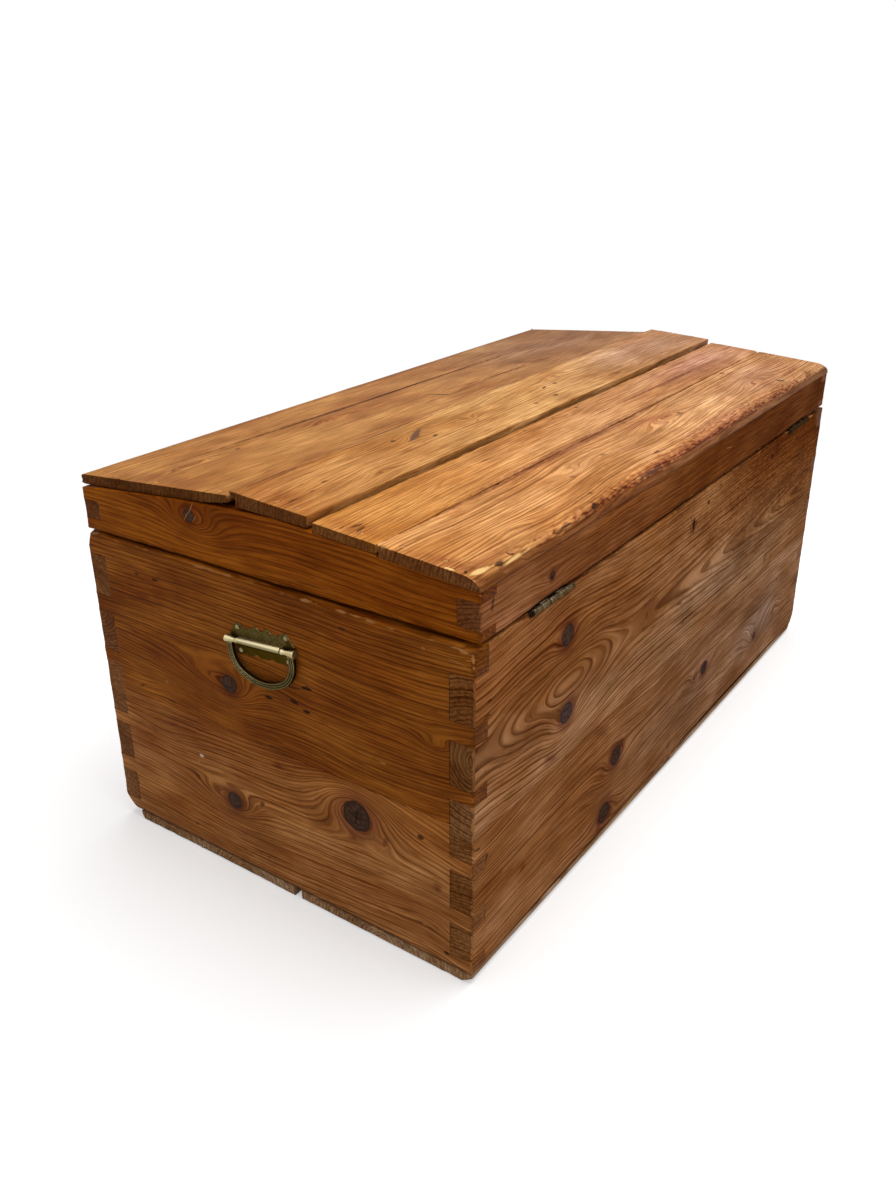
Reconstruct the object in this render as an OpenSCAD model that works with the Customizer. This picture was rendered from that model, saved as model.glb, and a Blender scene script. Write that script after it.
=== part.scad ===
// Antique pine blanket chest: finger-jointed case, planked crowned lid on two butt hinges,
// and a brass drop handle on each end. Millimetres.
// +X runs along the length, +Y towards the hinged back, +Z up from the underside of the bottom.

/* [Case] */
// Length of the case over its end walls
case_length = 962; // [700:1:1200]
// Depth of the case over its front and back walls
case_depth = 510; // [420:1:620]
// Height of the case walls
case_height = 363; // [300:1:460]
// Thickness of the front and back walls
long_wall_t = 26; // [20:0.5:32]
// Thickness of the end walls
end_wall_t = 24; // [18:0.5:30]
// Height of the lower board of the front and back walls
long_lower_h = 162; // [110:1:200]
// Height of the lower board of the end walls
end_lower_h = 174; // [110:1:220]

/* [Corner joints] */
// Height of the half pin at the foot of each corner
bottom_half_pin = 15; // [8:0.5:24]
// Height of the half pin at the top of each corner
top_half_pin = 26; // [16:0.5:34]
// Height of the lowest pin
pin_1_h = 19; // [10:0.5:26]
// Height of the second pin
pin_2_h = 16; // [10:0.5:26]
// Height of the third pin
pin_3_h = 15; // [10:0.5:26]
// Height of the highest whole pin
pin_4_h = 21; // [10:0.5:26]
// How much each cheek of a pin spreads between its tip and its root
pin_flare = 1.4; // [0.4:0.2:4]

/* [Bottom] */
// Thickness of the bottom boards
bottom_t = 13; // [8:0.5:20]
// How far the bottom stands back from the front wall's face
bottom_inset = 24; // [10:0.5:26]
// Width of the front bottom board
bottom_front_w = 104; // [70:1:130]
// Width of the middle bottom board
bottom_middle_w = 146.5; // [100:0.5:170]
// Shrinkage gap between the middle and the back bottom board
bottom_gap = 10; // [2:0.5:16]
// Radius of the worn long edges of the bottom
bottom_round = 10; // [4:0.5:12]

/* [Worn corners] */
// Reach of the knock on the two lower front corners
front_knock = 17; // [8:1:24]
// Reach of the knock on the lower back corner at the right end
right_knock = 14; // [8:1:24]
// Reach of the knock on the lower back corner at the left end
left_knock = 31; // [8:1:38]

/* [Keyhole] */
// Distance from the top edge of the back wall down to the keyhole's centre
keyhole_drop = 37; // [30:1:80]
// Height of the keyhole slit
keyhole_h = 22; // [12:0.5:30]
// Width of the keyhole slit
keyhole_w = 4.6; // [3:0.2:8]
// Offset of the keyhole from the middle of the wall
keyhole_shift = 3; // [-40:1:40]

/* [Lid frame] */
// Air between the case's top edge and the lid at the hinges
lid_gap = 3.5; // [2.5:0.1:8]
// Air between the case's top edge and the lid at the front, where it has settled
lid_front_gap = 1.2; // [0.6:0.1:2.4]
// Distance of the lid frame from the left end face of the case
lid_inset_left = 5; // [0:0.5:15]
// Distance of the lid frame from the right end face of the case, at the hinges
lid_inset_right = 10; // [0:0.5:15]
// How much further the right end rail reaches at its front end, where the frame is out of square
lid_skew = 7; // [0:0.5:9]
// Thickness of the lid rails
rail_t = 24.5; // [18:0.5:30]
// Height of the lid frame at its back edge
rail_back_h = 49.2; // [44:0.1:70]
// Height of the end rail under the crown
crown_h = 66.5; // [60:0.1:90]
// Height from the lid's underside to the corner fingers
finger_low = 11.5; // [6:0.5:14]
// Height of the back rail's finger
back_finger_h = 27.5; // [16:0.5:30]
// Height of the front rail's finger
front_finger_h = 21; // [12:0.5:26]

/* [Lid boards] */
// Width of the back board of the lid
back_board_w = 110; // [80:0.5:130]
// Width of the inner board, between the back and the crown board
inner_board_w = 75.6; // [50:0.2:95]
// Width of the raised crown board
crown_board_w = 99.5; // [70:0.5:120]
// Open joint between the crown board and the inner board
crown_gap = 4.5; // [1:0.1:8]
// Thickness of the back board
back_board_t = 12; // [8:0.2:18]
// Thickness of the inner board
inner_board_t = 10; // [8:0.2:18]
// Thickness of the crown board at its front edge
crown_board_t = 14.8; // [10:0.2:22]
// Thickness of the front board
front_board_t = 11.6; // [8:0.2:18]
// Rise of the back board's seat from the back rail to the inner board
back_rise = 7.3; // [3:0.1:12]
// Step up from the back board's seat to the inner board's seat
inner_step = 1.9; // [0:0.1:4]
// Rise of the inner board's seat towards the crown
inner_rise = 4.6; // [2:0.1:8]
// Fall of the front board's seat per millimetre of width
front_slope = 0.089; // [0.05:0.001:0.14]
// Drop from the crown seat to the front board's highest seat
front_drop = 5.6; // [3:0.1:10]
// Overhang of the front board past the front rail
front_overhang = 6; // [2:0.5:12]
// Overhang of the boards past the end rails
end_overhang = 1.5; // [0.5:0.5:8]
// Depth of the rebate under the crown board's front edge
rebate_w = 8; // [3:0.5:14]
// Thickness of the lip over that rebate
rebate_lip = 6.4; // [3:0.2:9]

/* [Nails] */
// Radius of a nail head
nail_head_r = 2.7; // [2:0.1:4]
// Thickness of a nail head
nail_head_t = 1.6; // [1:0.1:2.5]
// Radius of a nail shank
nail_r = 1.2; // [0.8:0.1:1.8]
// Length of a lid nail
lid_nail_len = 36; // [26:1:40]
// Length of a bottom nail
bottom_nail_len = 40; // [30:1:50]
// How deep the lid nails are punched below the surface
nail_sink = 1; // [0.4:0.1:2]

/* [Hinges] */
// Length of a hinge
hinge_len = 76; // [50:1:102]
// Distance of the right hinge from the right end of the case
right_hinge_inset = 96; // [60:1:160]
// Distance of the left hinge from the left end of the case
left_hinge_inset = 80; // [60:1:160]
// Radius of the hinge knuckles
knuckle_r = 3.6; // [3:0.1:5]
// Radius of the hinge pin
hinge_pin_r = 1.4; // [1:0.1:2]
// Thickness of a hinge leaf
leaf_t = 1.8; // [1.2:0.1:2.4]
// Width of a hinge leaf from the pin's axis
leaf_w = 22; // [16:0.5:24]
// How far the pin's axis stands behind the back face
pin_out = 0.6; // [0.4:0.1:2]
// Extra length of the notch for the knuckles at its outer end
notch_extra = 7; // [1:0.5:12]
// Length of a hinge screw
hinge_screw_len = 18; // [12:1:26]

/* [Handles] */
// Distance from the case's top edge down to the handle's pin
handle_drop = 65; // [60:1:140]
// How far the handles sit behind the middle of the end walls
handle_shift = 3.5; // [0:0.5:20]
// Distance of the handle's pin from the end wall
handle_stand = 5; // [5:0.1:9]
// Thickness of the handle's back plate
plate_t = 1; // [0.8:0.1:1.2]
// Radius of the rolled sleeve
sleeve_r = 4.2; // [3.6:0.1:5]
// Length of the rolled sleeve
sleeve_len = 58; // [50:1:60]
// Length over the two ears of the bail
handle_len = 94; // [92:1:110]
// Radius of the handle's pin
handle_pin_r = 1.5; // [1:0.1:2]
// Distance between the middles of the bail's legs
bail_w = 84; // [80:1:86]
// Straight length of a leg of the bail
bail_leg = 11.5; // [8:0.1:30]
// Radius of the bail's corners
bail_corner_r = 28; // [18:0.5:32]
// Width of the bail's bar
bar_w = 6.8; // [4:0.2:7.2]
// Thickness of the bail's bar
bar_t = 4.4; // [3:0.2:5]
// Distance of the handle screws from the middle of the plate
screw_side = 33; // [28:0.5:34]
// Distance of the handle screws above and below the pin
screw_rise = 12.6; // [11:0.1:14]
// Tilt of the right handle in degrees, up towards the back: it was screwed on askew
handle_tilt = 5; // [0:0.5:8]

/* [Hidden] */
$fn = 64;

// Running clearance of pins and shanks in their holes, and the hairline between two boards
fit = 0.05;
hairline = 0.4;
// How far a cutter reaches past the surface that it cuts, and how far two joined solids overlap
past = 2;
overlap = 0.5;

// Case planes
half_l = case_length / 2;
half_d = case_depth / 2;
case_z0 = bottom_t;
case_z1 = bottom_t + case_height;
inner_x = half_l - end_wall_t;
inner_y = half_d - long_wall_t;

// Corner pins: the five tails share the height that the pins leave, spaced by eye
pin_heights = [pin_1_h, pin_2_h, pin_3_h, pin_4_h];
tail_shares = [40, 47, 66, 49, 49];
pins_sum = pin_1_h + pin_2_h + pin_3_h + pin_4_h;
tails_sum = case_height - bottom_half_pin - top_half_pin - pins_sum;
function total(v, n) = n <= 0 ? 0 : v[n - 1] + total(v, n - 1);
function pin_z(i) = case_z0 + bottom_half_pin + total(pin_heights, i)
    + tails_sum * total(tail_shares, i + 1) / total(tail_shares, 5);

// Lid planes, and heights of the seats above the lid's underside
lid_z0 = case_z1 + lid_gap;
lid_x0 = -half_l + lid_inset_left;
lid_x1 = half_l - lid_inset_right;
lid_in_x0 = lid_x0 + rail_t;
lid_in_x1 = lid_x1 - rail_t;
rail_in_y = half_d - rail_t;
lid_settle = lid_gap - lid_front_gap;
// Outer face of the right end rail
function right_face(y) = lid_x1 + lid_skew * (half_d - y) / case_depth;
right_front_x = right_face(-half_d);
back_y = half_d - back_board_w;
inner_y1 = back_y - hairline;
inner_y0 = inner_y1 - inner_board_w;
crown_y1 = inner_y0 - crown_gap;
crown_y0 = crown_y1 - crown_board_w;
peak_y = (crown_y0 + crown_y1) / 2 + 5;
front_y1 = crown_y0 - 1.3;
front_y0 = -half_d - front_overhang;
back_seat_h = rail_back_h + back_rise;
inner_seat_low = back_seat_h + inner_step;
inner_seat_high = inner_seat_low + inner_rise;
crown_slope = -0.03;
// The front board lies on the rail between two points of its width
front_rest_in = 59;
front_rest = front_y1 - front_rest_in;
front_rest_low = front_y1 - 0.52 * (front_y1 + half_d);
front_seat_h = crown_h - front_drop;
// How far the rail falls away under the two edges of the front board
front_edge_gap = 1.3;
crown_edge_gap = 2.2;
function front_under(y) = front_seat_h + front_slope * (y - front_rest);
function crown_under(y) = crown_h + crown_slope * (y - peak_y);
function inner_under(y) = inner_seat_low + inner_rise * (inner_y1 - y) / inner_board_w;
function back_under(y) = rail_back_h + back_rise * (half_d - y) / back_board_w;
rail_front_h = front_under(-half_d) - front_edge_gap;

// Tops of the lid boards
crown_fall = 0.054;
function front_top(y) = front_under(y) + front_board_t;
function crown_top(y) = crown_under(crown_y0) + crown_board_t - crown_fall * (y - crown_y0);
function inner_top(y) = inner_under(y) + inner_board_t;
function back_top(y) = back_under(y) + back_board_t;

// Nail places on the lid as [x, y, height of the surface above the lid's underside]
function end_nail_x(y) = [lid_x0 + rail_t / 2, right_face(y) - rail_t / 2];
board_nail_inset = 20;
long_nails = 5;
long_nail_margin = 40;
long_nail_pitch = (lid_in_x1 - lid_in_x0 - 2 * long_nail_margin) / (long_nails - 1);
lid_mid_x = (lid_in_x0 + lid_in_x1) / 2;
long_nail_x = [for (i = [0:long_nails - 1]) lid_mid_x + (i - (long_nails - 1) / 2) * long_nail_pitch];
front_nail_y = (-half_d - rail_in_y) / 2;
back_nail_y = (half_d + rail_in_y) / 2;
front_nails = concat(
    [for (y = [-rail_in_y + board_nail_inset, (front_y0 + front_y1) / 2,
        front_y1 - board_nail_inset], x = end_nail_x(y)) [x, y, front_top(y)]],
    [for (x = long_nail_x) [x, front_nail_y, front_top(front_nail_y)]]);
crown_nails = [for (y = [peak_y, crown_y1 - board_nail_inset], x = end_nail_x(y)) [x, y, crown_top(y)]];
inner_nails = [for (y = [(inner_y0 + inner_y1) / 2 + 11], x = end_nail_x(y)) [x, y, inner_top(y)]];
back_nails = concat(
    [for (y = [back_y + board_nail_inset, rail_in_y - board_nail_inset], x = end_nail_x(y))
        [x, y, back_top(y)]],
    [for (x = long_nail_x) [x, back_nail_y, back_top(back_nail_y)]]);

// Bottom boards, front to back
bottom_y0 = -half_d + bottom_inset;
bottom_y1 = bottom_y0 + bottom_front_w;
bottom_y2 = bottom_y1 + hairline;
bottom_y3 = bottom_y2 + bottom_middle_w;
bottom_y4 = bottom_y3 + bottom_gap;
bottom_nail_x = (half_l + inner_x) / 2;
bottom_nail_inset = 28;
bottom_end_nails = [for (sx = [-1, 1], y = [bottom_y0 + bottom_nail_inset, bottom_y1 - bottom_nail_inset,
    bottom_y2 + bottom_nail_inset, bottom_y3 - bottom_nail_inset,
    bottom_y4 + bottom_nail_inset, inner_y - bottom_nail_inset]) [sx * bottom_nail_x, y]];
back_wall_nails = 5;
back_wall_nail_y = (half_d + inner_y) / 2;
back_wall_nail_margin = 60;
back_wall_nail_pitch = 2 * (inner_x - back_wall_nail_margin) / (back_wall_nails - 1);
bottom_back_nails = [for (i = [0:back_wall_nails - 1])
    [(i - (back_wall_nails - 1) / 2) * back_wall_nail_pitch, back_wall_nail_y]];
bottom_nail_sink = 0.4;

// Hinges: the lower leaf is let in flush with the wall's top, the upper leaf lies under the back rail
knuckles = 5;
knuckle_gap = 0.3;
knuckle_pitch = hinge_len / knuckles;
axis_y = half_d + pin_out;
axis_z = lid_z0 - 0.5 - knuckle_r;
right_hinge_x = half_l - right_hinge_inset - hinge_len / 2;
left_hinge_x = -half_l + left_hinge_inset + hinge_len / 2;
leaf_y0 = axis_y - leaf_w;
notch_air = 0.4;
leaf_screw_y = (leaf_y0 + axis_y - knuckle_r - notch_air) / 2;
leaf_screw_pitch = hinge_len / 3;
hinge_screw_r = 1.7;
hinge_head_r = 3.2;
hinge_head_t = 1.5;

// Handles
handle_z = case_z1 - handle_drop;
ear_gap = 0.6;
ear_neck_r = 2.8;
ear_collar_r = 3.4;
ear_mouth_r = 4.2;
bore_air = 0.05;
bail_turn = 60;
bail_centre_y = bail_w / 2 - bail_corner_r;
bail_shift = bail_centre_y / cos(bail_turn);
bail_bottom_r = bail_corner_r + bail_shift;
bail_steps = 6;
rib_h = 1.1;
rib_w = bar_w / 5;
rib_pitch = (bar_w - rib_w) / 2 - 0.3;
plate_screw_r = 1.5;
plate_head_r = 3;
plate_head_t = 1.4;
plate_screw_len = 15;

// Colours
pine = [0.55, 0.30, 0.13];
pine_light = [0.70, 0.45, 0.20];
pine_dark = [0.45, 0.22, 0.10];
raw_pine = [0.48, 0.40, 0.31];
old_iron = [0.25, 0.23, 0.21];
old_brass = [0.52, 0.45, 0.27];

// Part of the shape that lies between two heights
module slice(z0, z1) {
    intersection() {
        children();
        translate([-case_length, -case_depth, z0]) cube([2 * case_length, 2 * case_depth, z1 - z0]);
    }
}

// One pin seen from the long face: cheeks spread from the tip towards the root
module pin_face(z0, z1, flare_low, flare_high, tip) {
    spread = tip * pin_flare / end_wall_t;
    polygon([
        [inner_x, z0 - flare_low * pin_flare], [half_l + tip, z0 + flare_low * spread],
        [half_l + tip, z1 - flare_high * spread], [inner_x, z1 + flare_high * pin_flare]
    ]);
}

// All pins of one corner; reach stretches them past the outer faces for cutting
module corner_pins(reach) {
    translate([0, half_d + reach, 0]) rotate([90, 0, 0])
        linear_extrude(long_wall_t + reach + past) {
            pin_face(case_z0 - reach, case_z0 + bottom_half_pin, 0, 1, reach);
            for (i = [0:3]) pin_face(pin_z(i), pin_z(i) + pin_heights[i], 1, 1, reach);
            pin_face(case_z1 - top_half_pin, case_z1 + reach, 1, 0, reach);
        }
}

module every_corner() {
    for (mx = [0, 1], my = [0, 1]) mirror([mx, 0, 0]) mirror([0, my, 0]) children();
}

// A knocked corner: everything outside a ball that meets the three edges at the same reach
module knock(corner, reach) {
    ball_r = 3 * reach;
    inset = (reach + sqrt(3 * ball_r * ball_r - 2 * reach * reach)) / 3;
    side = 1.3 * reach;
    sx = corner[0] > 0 ? -1 : 1;
    sy = corner[1] > 0 ? -1 : 1;
    difference() {
        translate(corner + [sx * (side / 2 - past), sy * (side / 2 - past), side / 2 - past])
            cube(side, center = true);
        translate(corner + [sx * inset, sy * inset, inset]) sphere(r = ball_r);
    }
}

module knocks() {
    knock([half_l, -half_d, case_z0], front_knock);
    knock([-half_l, -half_d, case_z0], front_knock);
    knock([half_l, half_d, 0], right_knock);
    knock([-half_l, half_d, 0], left_knock);
}

// A nail with its head at the origin and its shank running down; grow widens it into its hole
module nail(len, grow = 0, head_reach = 0) {
    translate([0, 0, -nail_head_t]) cylinder(r = nail_head_r + grow, h = nail_head_t + head_reach);
    translate([0, 0, -len]) cylinder(r = nail_r + grow, h = len);
}

module bottom_nail_set(grow = 0, head_reach = 0) {
    for (p = concat(bottom_end_nails, bottom_back_nails))
        translate([p[0], p[1], bottom_nail_sink]) rotate([180, 0, 0])
            nail(bottom_nail_len, grow, head_reach);
}

module lid_nail_set(places, grow = 0, head_reach = 0) {
    for (p = places) translate([p[0], p[1], lid_z0 + p[2] - nail_sink])
        nail(lid_nail_len, grow, head_reach);
}

// Recesses in the back wall's top edge for one hinge
module hinge_pocket(x, outward) {
    translate([x - hinge_len / 2 - knuckle_gap, leaf_y0 - knuckle_gap, case_z1 - leaf_t])
        cube([hinge_len + 2 * knuckle_gap, leaf_w + past, leaf_t + past]);
    notch_y = axis_y - knuckle_r - notch_air;
    translate([outward > 0 ? x - hinge_len / 2 - knuckle_gap : x - hinge_len / 2 - notch_extra,
        notch_y, axis_z - knuckle_r - notch_air])
        cube([hinge_len + knuckle_gap + notch_extra, knuckle_r + past, 2 * knuckle_r + past]);
}

module hinge_pockets() {
    hinge_pocket(right_hinge_x, 1);
    hinge_pocket(left_hinge_x, -1);
}

module hinge_screw(grow = 0) {
    cylinder(r1 = hinge_screw_r + grow, r2 = hinge_head_r + grow, h = hinge_head_t);
    translate([0, 0, -hinge_screw_len]) cylinder(r = hinge_screw_r + grow, h = hinge_screw_len + overlap);
}

module lower_screw_set(grow = 0) {
    for (x = [right_hinge_x, left_hinge_x], i = [-1:1])
        translate([x + i * leaf_screw_pitch, leaf_screw_y, case_z1 - hinge_head_t]) hinge_screw(grow);
}

module upper_screw_set(grow = 0) {
    for (x = [right_hinge_x, left_hinge_x], i = [-1:1])
        translate([x + i * leaf_screw_pitch, leaf_screw_y, lid_z0 - leaf_t + hinge_head_t])
            rotate([180, 0, 0]) hinge_screw(grow);
}

// Places what is drawn about the middle of a handle's seat on an end wall
module on_end(right) {
    mirror([right ? 0 : 1, 0, 0]) translate([half_l, handle_shift, handle_z])
        rotate([right ? handle_tilt : 0, 0, 0]) children();
}

// Handle screws, driven into the wall through the plate's front
module plate_screw_set(grow = 0) {
    for (sy = [-1, 1], sz = [-1, 1])
        translate([plate_t, sy * screw_side, sz * screw_rise])
            rotate([0, 90, 0]) {
                if (grow == 0) intersection() {
                    cylinder(r = plate_head_r, h = plate_head_t);
                    translate([0, 0, plate_head_t - plate_head_r * 1.3]) sphere(r = plate_head_r * 1.3);
                }
                translate([0, 0, -plate_screw_len])
                    cylinder(r = plate_screw_r + grow, h = plate_screw_len + overlap);
            }
}

module keyhole() {
    lens_r = (keyhole_h * keyhole_h / 4 + keyhole_w * keyhole_w / 4) / keyhole_w;
    translate([keyhole_shift, half_d + past, case_z1 - keyhole_drop]) rotate([90, 0, 0])
        linear_extrude(long_wall_t + 2 * past) intersection() {
            translate([lens_r - keyhole_w / 2, 0]) circle(r = lens_r, $fn = 96);
            translate([keyhole_w / 2 - lens_r, 0]) circle(r = lens_r, $fn = 96);
        }
}

// Front wall; the back wall is its mirror image before it gets its own cuts
module long_board(back, z0, z1) {
    difference() {
        mirror([0, back ? 0 : 1, 0]) translate([-half_l, inner_y, z0])
            cube([case_length, long_wall_t, z1 - z0]);
        every_corner() corner_pins(past);
        knocks();
    }
}

module end_board(right, z0, z1) {
    difference() {
        slice(z0, z1) {
            translate([right ? inner_x : -half_l, -inner_y, case_z0])
                cube([end_wall_t, 2 * inner_y, case_height]);
            for (my = [0, 1]) mirror([right ? 0 : 1, 0, 0]) mirror([0, my, 0]) corner_pins(0);
        }
        knocks();
    }
}

module front_lower_board() {
    color(pine_dark) long_board(false, case_z0, case_z0 + long_lower_h);
}

module front_upper_board() {
    color(pine) long_board(false, case_z0 + long_lower_h, case_z1);
}

module back_lower_board() {
    color(pine_dark) difference() {
        long_board(true, case_z0, case_z0 + long_lower_h);
        bottom_nail_set(fit);
    }
}

module back_upper_board() {
    color(pine) difference() {
        long_board(true, case_z0 + long_lower_h, case_z1);
        hinge_pockets();
        lower_screw_set(fit);
        keyhole();
    }
}

module end_lower_board(right) {
    color(pine_dark) difference() {
        end_board(right, case_z0, case_z0 + end_lower_h);
        bottom_nail_set(fit);
    }
}

module end_upper_board(right) {
    color(pine) difference() {
        end_board(right, case_z0 + end_lower_h, case_z1);
        on_end(right) plate_screw_set(fit);
    }
}

// A bottom board between two depths; its named long edges are rounded underneath
module bottom_board(y0, y1, round_front, round_back) {
    color(raw_pine) difference() {
        translate([-half_l, 0, 0]) rotate([90, 0, 90]) linear_extrude(case_length) difference() {
            translate([y0, 0]) square([y1 - y0, bottom_t]);
            if (round_front) edge_round(y0, 1);
            if (round_back) edge_round(y1, -1);
        }
        knocks();
        bottom_nail_set(fit, past);
    }
}

// Waste outside a quarter circle at a lower edge
module edge_round(y, inward) {
    difference() {
        translate([inward > 0 ? y - past : y - bottom_round, -past])
            square([bottom_round + past, bottom_round + past]);
        translate([y + inward * bottom_round, bottom_round]) circle(r = bottom_round);
    }
}

module bottom_board_front() {
    bottom_board(bottom_y0, bottom_y1, true, false);
}

module bottom_board_middle() {
    bottom_board(bottom_y2, bottom_y3, false, false);
}

module bottom_board_back() {
    bottom_board(bottom_y4, half_d, false, true);
}

module bottom_nails() {
    color(old_iron) bottom_nail_set();
}

// Extrudes a profile drawn as (y, height above the lid's underside) between two lengths
module along_lid(x0, x1) {
    translate([x0, 0, lid_z0]) rotate([90, 0, 90]) linear_extrude(x1 - x0) children();
}

// Crowned outline of an end rail
module rail_outline() {
    low_rest = min(front_rest_low, front_rest - 1);
    crown_front_h = min(front_under(crown_y0) - crown_edge_gap, crown_h - crown_edge_gap);
    polygon([
        [-half_d, -lid_settle], [rail_in_y, 0], [half_d, 0], [half_d, rail_back_h], [back_y, back_seat_h],
        [back_y, inner_seat_low], [inner_y1, inner_seat_low], [inner_y0, inner_seat_high],
        [crown_y1 + crown_gap / 2, min(inner_seat_high, crown_h) + 0.8],
        [peak_y, crown_h], [crown_y0, crown_front_h],
        [front_rest, front_seat_h], [low_rest, front_under(low_rest)], [-half_d, rail_front_h]
    ]);
}

// Plans of the lid frame's parts, as corners at the front and at the back
function plan(front_x0, front_x1, back_x0, back_x1) =
    [[front_x0, -half_d], [front_x1, -half_d], [back_x1, half_d], [back_x0, half_d]];
left_rail_plan = plan(lid_x0, lid_in_x0, lid_x0, lid_in_x0);
right_rail_plan = plan(right_front_x - rail_t, right_front_x, lid_in_x1, lid_x1);
inside_plan = plan(lid_in_x0, right_front_x - rail_t, lid_in_x0, lid_in_x1);
left_finger_plan = plan(lid_x0, lid_in_x0 + overlap, lid_x0, lid_in_x0 + overlap);
right_finger_plan = plan(right_front_x - rail_t - overlap, right_front_x, lid_in_x1 - overlap, lid_x1);

// Part of the lid that stands over a plan
module over_plan(corners) {
    intersection() {
        children();
        translate([0, 0, lid_z0 - lid_settle - past]) linear_extrude(2 * crown_h) polygon(corners);
    }
}

module end_rail(corners) {
    color(pine) difference() {
        over_plan(corners) along_lid(lid_x0 - past, right_front_x + past) rail_outline();
        finger_slab(1, back_finger_h, past);
        finger_slab(-1, front_finger_h, past);
        lid_nail_set(concat(front_nails, crown_nails, inner_nails, back_nails), fit);
    }
}

// The slab that holds the fingers of the back rail (side 1) or front rail (side -1)
module finger_slab(side, height, reach) {
    translate([lid_x0 - past, side > 0 ? rail_in_y : -half_d - reach, lid_z0 + finger_low])
        cube([right_front_x - lid_x0 + 2 * past, rail_t + reach, height]);
}

module long_rail(side, height) {
    difference() {
        union() {
            over_plan(inside_plan) along_lid(lid_x0, right_front_x) intersection() {
                rail_outline();
                translate([side > 0 ? rail_in_y : -half_d, -lid_settle]) square([rail_t, 2 * crown_h]);
            }
            over_plan(left_finger_plan) finger_slab(side, height, 0);
            over_plan(right_finger_plan) finger_slab(side, height, 0);
        }
        lid_nail_set(side > 0 ? back_nails : front_nails, fit);
    }
}

module lid_front_rail() {
    color(pine) long_rail(-1, front_finger_h);
}

module lid_back_rail() {
    color(pine) difference() {
        long_rail(1, back_finger_h);
        upper_screw_set(fit);
    }
}

module lid_board(places) {
    color(pine_light) difference() {
        along_lid(lid_x0 - end_overhang, lid_x1 + end_overhang) children();
        lid_nail_set(places, fit, 3 * nail_sink);
    }
}

// The front board: rounded nose, and an underside that lifts towards the crown
module lid_board_front() {
    relief_y = front_y1 - 38;
    relief_h = 4.2;
    nose_r = front_board_t * 0.42;
    nose_steps = 4;
    lid_board(front_nails) polygon(concat(
        [[front_y1, front_under(front_y1) + relief_h], [front_y1, front_top(front_y1)]],
        [for (i = [0:nose_steps]) let (a = 90 + 90 * i / nose_steps, y = front_y0 + nose_r)
            [y + nose_r * cos(a), front_top(y) - nose_r + nose_r * sin(a)]],
        [for (i = [0:nose_steps]) let (a = 180 + 90 * i / nose_steps, y = front_y0 + nose_r)
            [y + nose_r * cos(a), front_under(y) + nose_r + nose_r * sin(a)]],
        [[relief_y, front_under(relief_y)]]
    ));
}

// The raised board: a lip over an open rebate along its front edge
module lid_board_crown() {
    lip_h = crown_top(crown_y0) - rebate_lip;
    lid_board(crown_nails) polygon([
        [crown_y0 + rebate_w, crown_under(crown_y0 + rebate_w)], [crown_y1, crown_under(crown_y1)],
        [crown_y1, crown_top(crown_y1)], [crown_y0, crown_top(crown_y0)],
        [crown_y0, lip_h], [crown_y0 + rebate_w, lip_h]
    ]);
}

module lid_board_inner() {
    lid_board(inner_nails) polygon([
        [inner_y0, inner_under(inner_y0)], [inner_y1, inner_under(inner_y1)],
        [inner_y1, inner_top(inner_y1)], [inner_y0, inner_top(inner_y0)]
    ]);
}

// The back board: its outer edge is worn round down to the back rail
module lid_board_back() {
    worn_w = 2 * back_board_t;
    worn_steps = 5;
    worn_out = 0.7;
    lid_board(back_nails) polygon(concat(
        [[back_y, back_under(back_y)], [half_d, back_under(half_d)]],
        [for (i = [0:worn_steps]) let (a = 90 * i / worn_steps)
            [half_d + worn_out - worn_w * (1 - cos(a)),
             back_under(half_d) + 1 + (back_top(half_d - worn_w) - rail_back_h - 1) * sin(a)]],
        [[back_y, back_top(back_y)]]
    ));
}

module lid_nails() {
    color(old_iron) lid_nail_set(concat(front_nails, crown_nails, inner_nails, back_nails));
}

// The knuckles of one leaf: first is the number of the first one, counted along +X
module leaf_knuckles(x, first, grow) {
    for (i = [first:2:knuckles - 1])
        translate([x - hinge_len / 2 + i * knuckle_pitch + knuckle_gap / 2 - grow, axis_y, axis_z])
            rotate([0, 90, 0]) cylinder(r = knuckle_r + grow, h = knuckle_pitch - knuckle_gap + 2 * grow);
}

// A leaf with its knuckles, cut away round the knuckles of the other leaf
module leaf(x, z, first) {
    difference() {
        union() {
            translate([x - hinge_len / 2, leaf_y0, z]) cube([hinge_len, leaf_w, leaf_t]);
            leaf_knuckles(x, first, 0);
        }
        for (i = [1 - first:2:knuckles - 1])
            translate([x - hinge_len / 2 + i * knuckle_pitch - knuckle_gap / 2,
                axis_y - knuckle_r - notch_air, z - past])
                cube([knuckle_pitch + knuckle_gap, 2 * knuckle_r + past, leaf_t + 2 * past]);
        translate([x - hinge_len / 2 - past, axis_y, axis_z]) rotate([0, 90, 0])
            cylinder(r = hinge_pin_r + bore_air, h = hinge_len + 2 * past);
    }
}

module hinge_lower_leaf(x) {
    color(old_brass) difference() {
        leaf(x, case_z1 - leaf_t, 0);
        lower_screw_set(fit);
    }
}

module hinge_upper_leaf(x) {
    color(old_brass) difference() {
        leaf(x, lid_z0 - leaf_t, 1);
        upper_screw_set(fit);
    }
}

module hinge_pin(x) {
    color(old_iron) translate([x - hinge_len / 2, axis_y, axis_z]) rotate([0, 90, 0])
        cylinder(r = hinge_pin_r, h = hinge_len);
}

module right_hinge_lower_leaf() { hinge_lower_leaf(right_hinge_x); }
module right_hinge_upper_leaf() { hinge_upper_leaf(right_hinge_x); }
module right_hinge_pin() { hinge_pin(right_hinge_x); }
module left_hinge_lower_leaf() { hinge_lower_leaf(left_hinge_x); }
module left_hinge_upper_leaf() { hinge_upper_leaf(left_hinge_x); }
module left_hinge_pin() { hinge_pin(left_hinge_x); }

module hinge_lower_screws() {
    color(old_iron) lower_screw_set();
}

module hinge_upper_screws() {
    color(old_iron) upper_screw_set();
}

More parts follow.
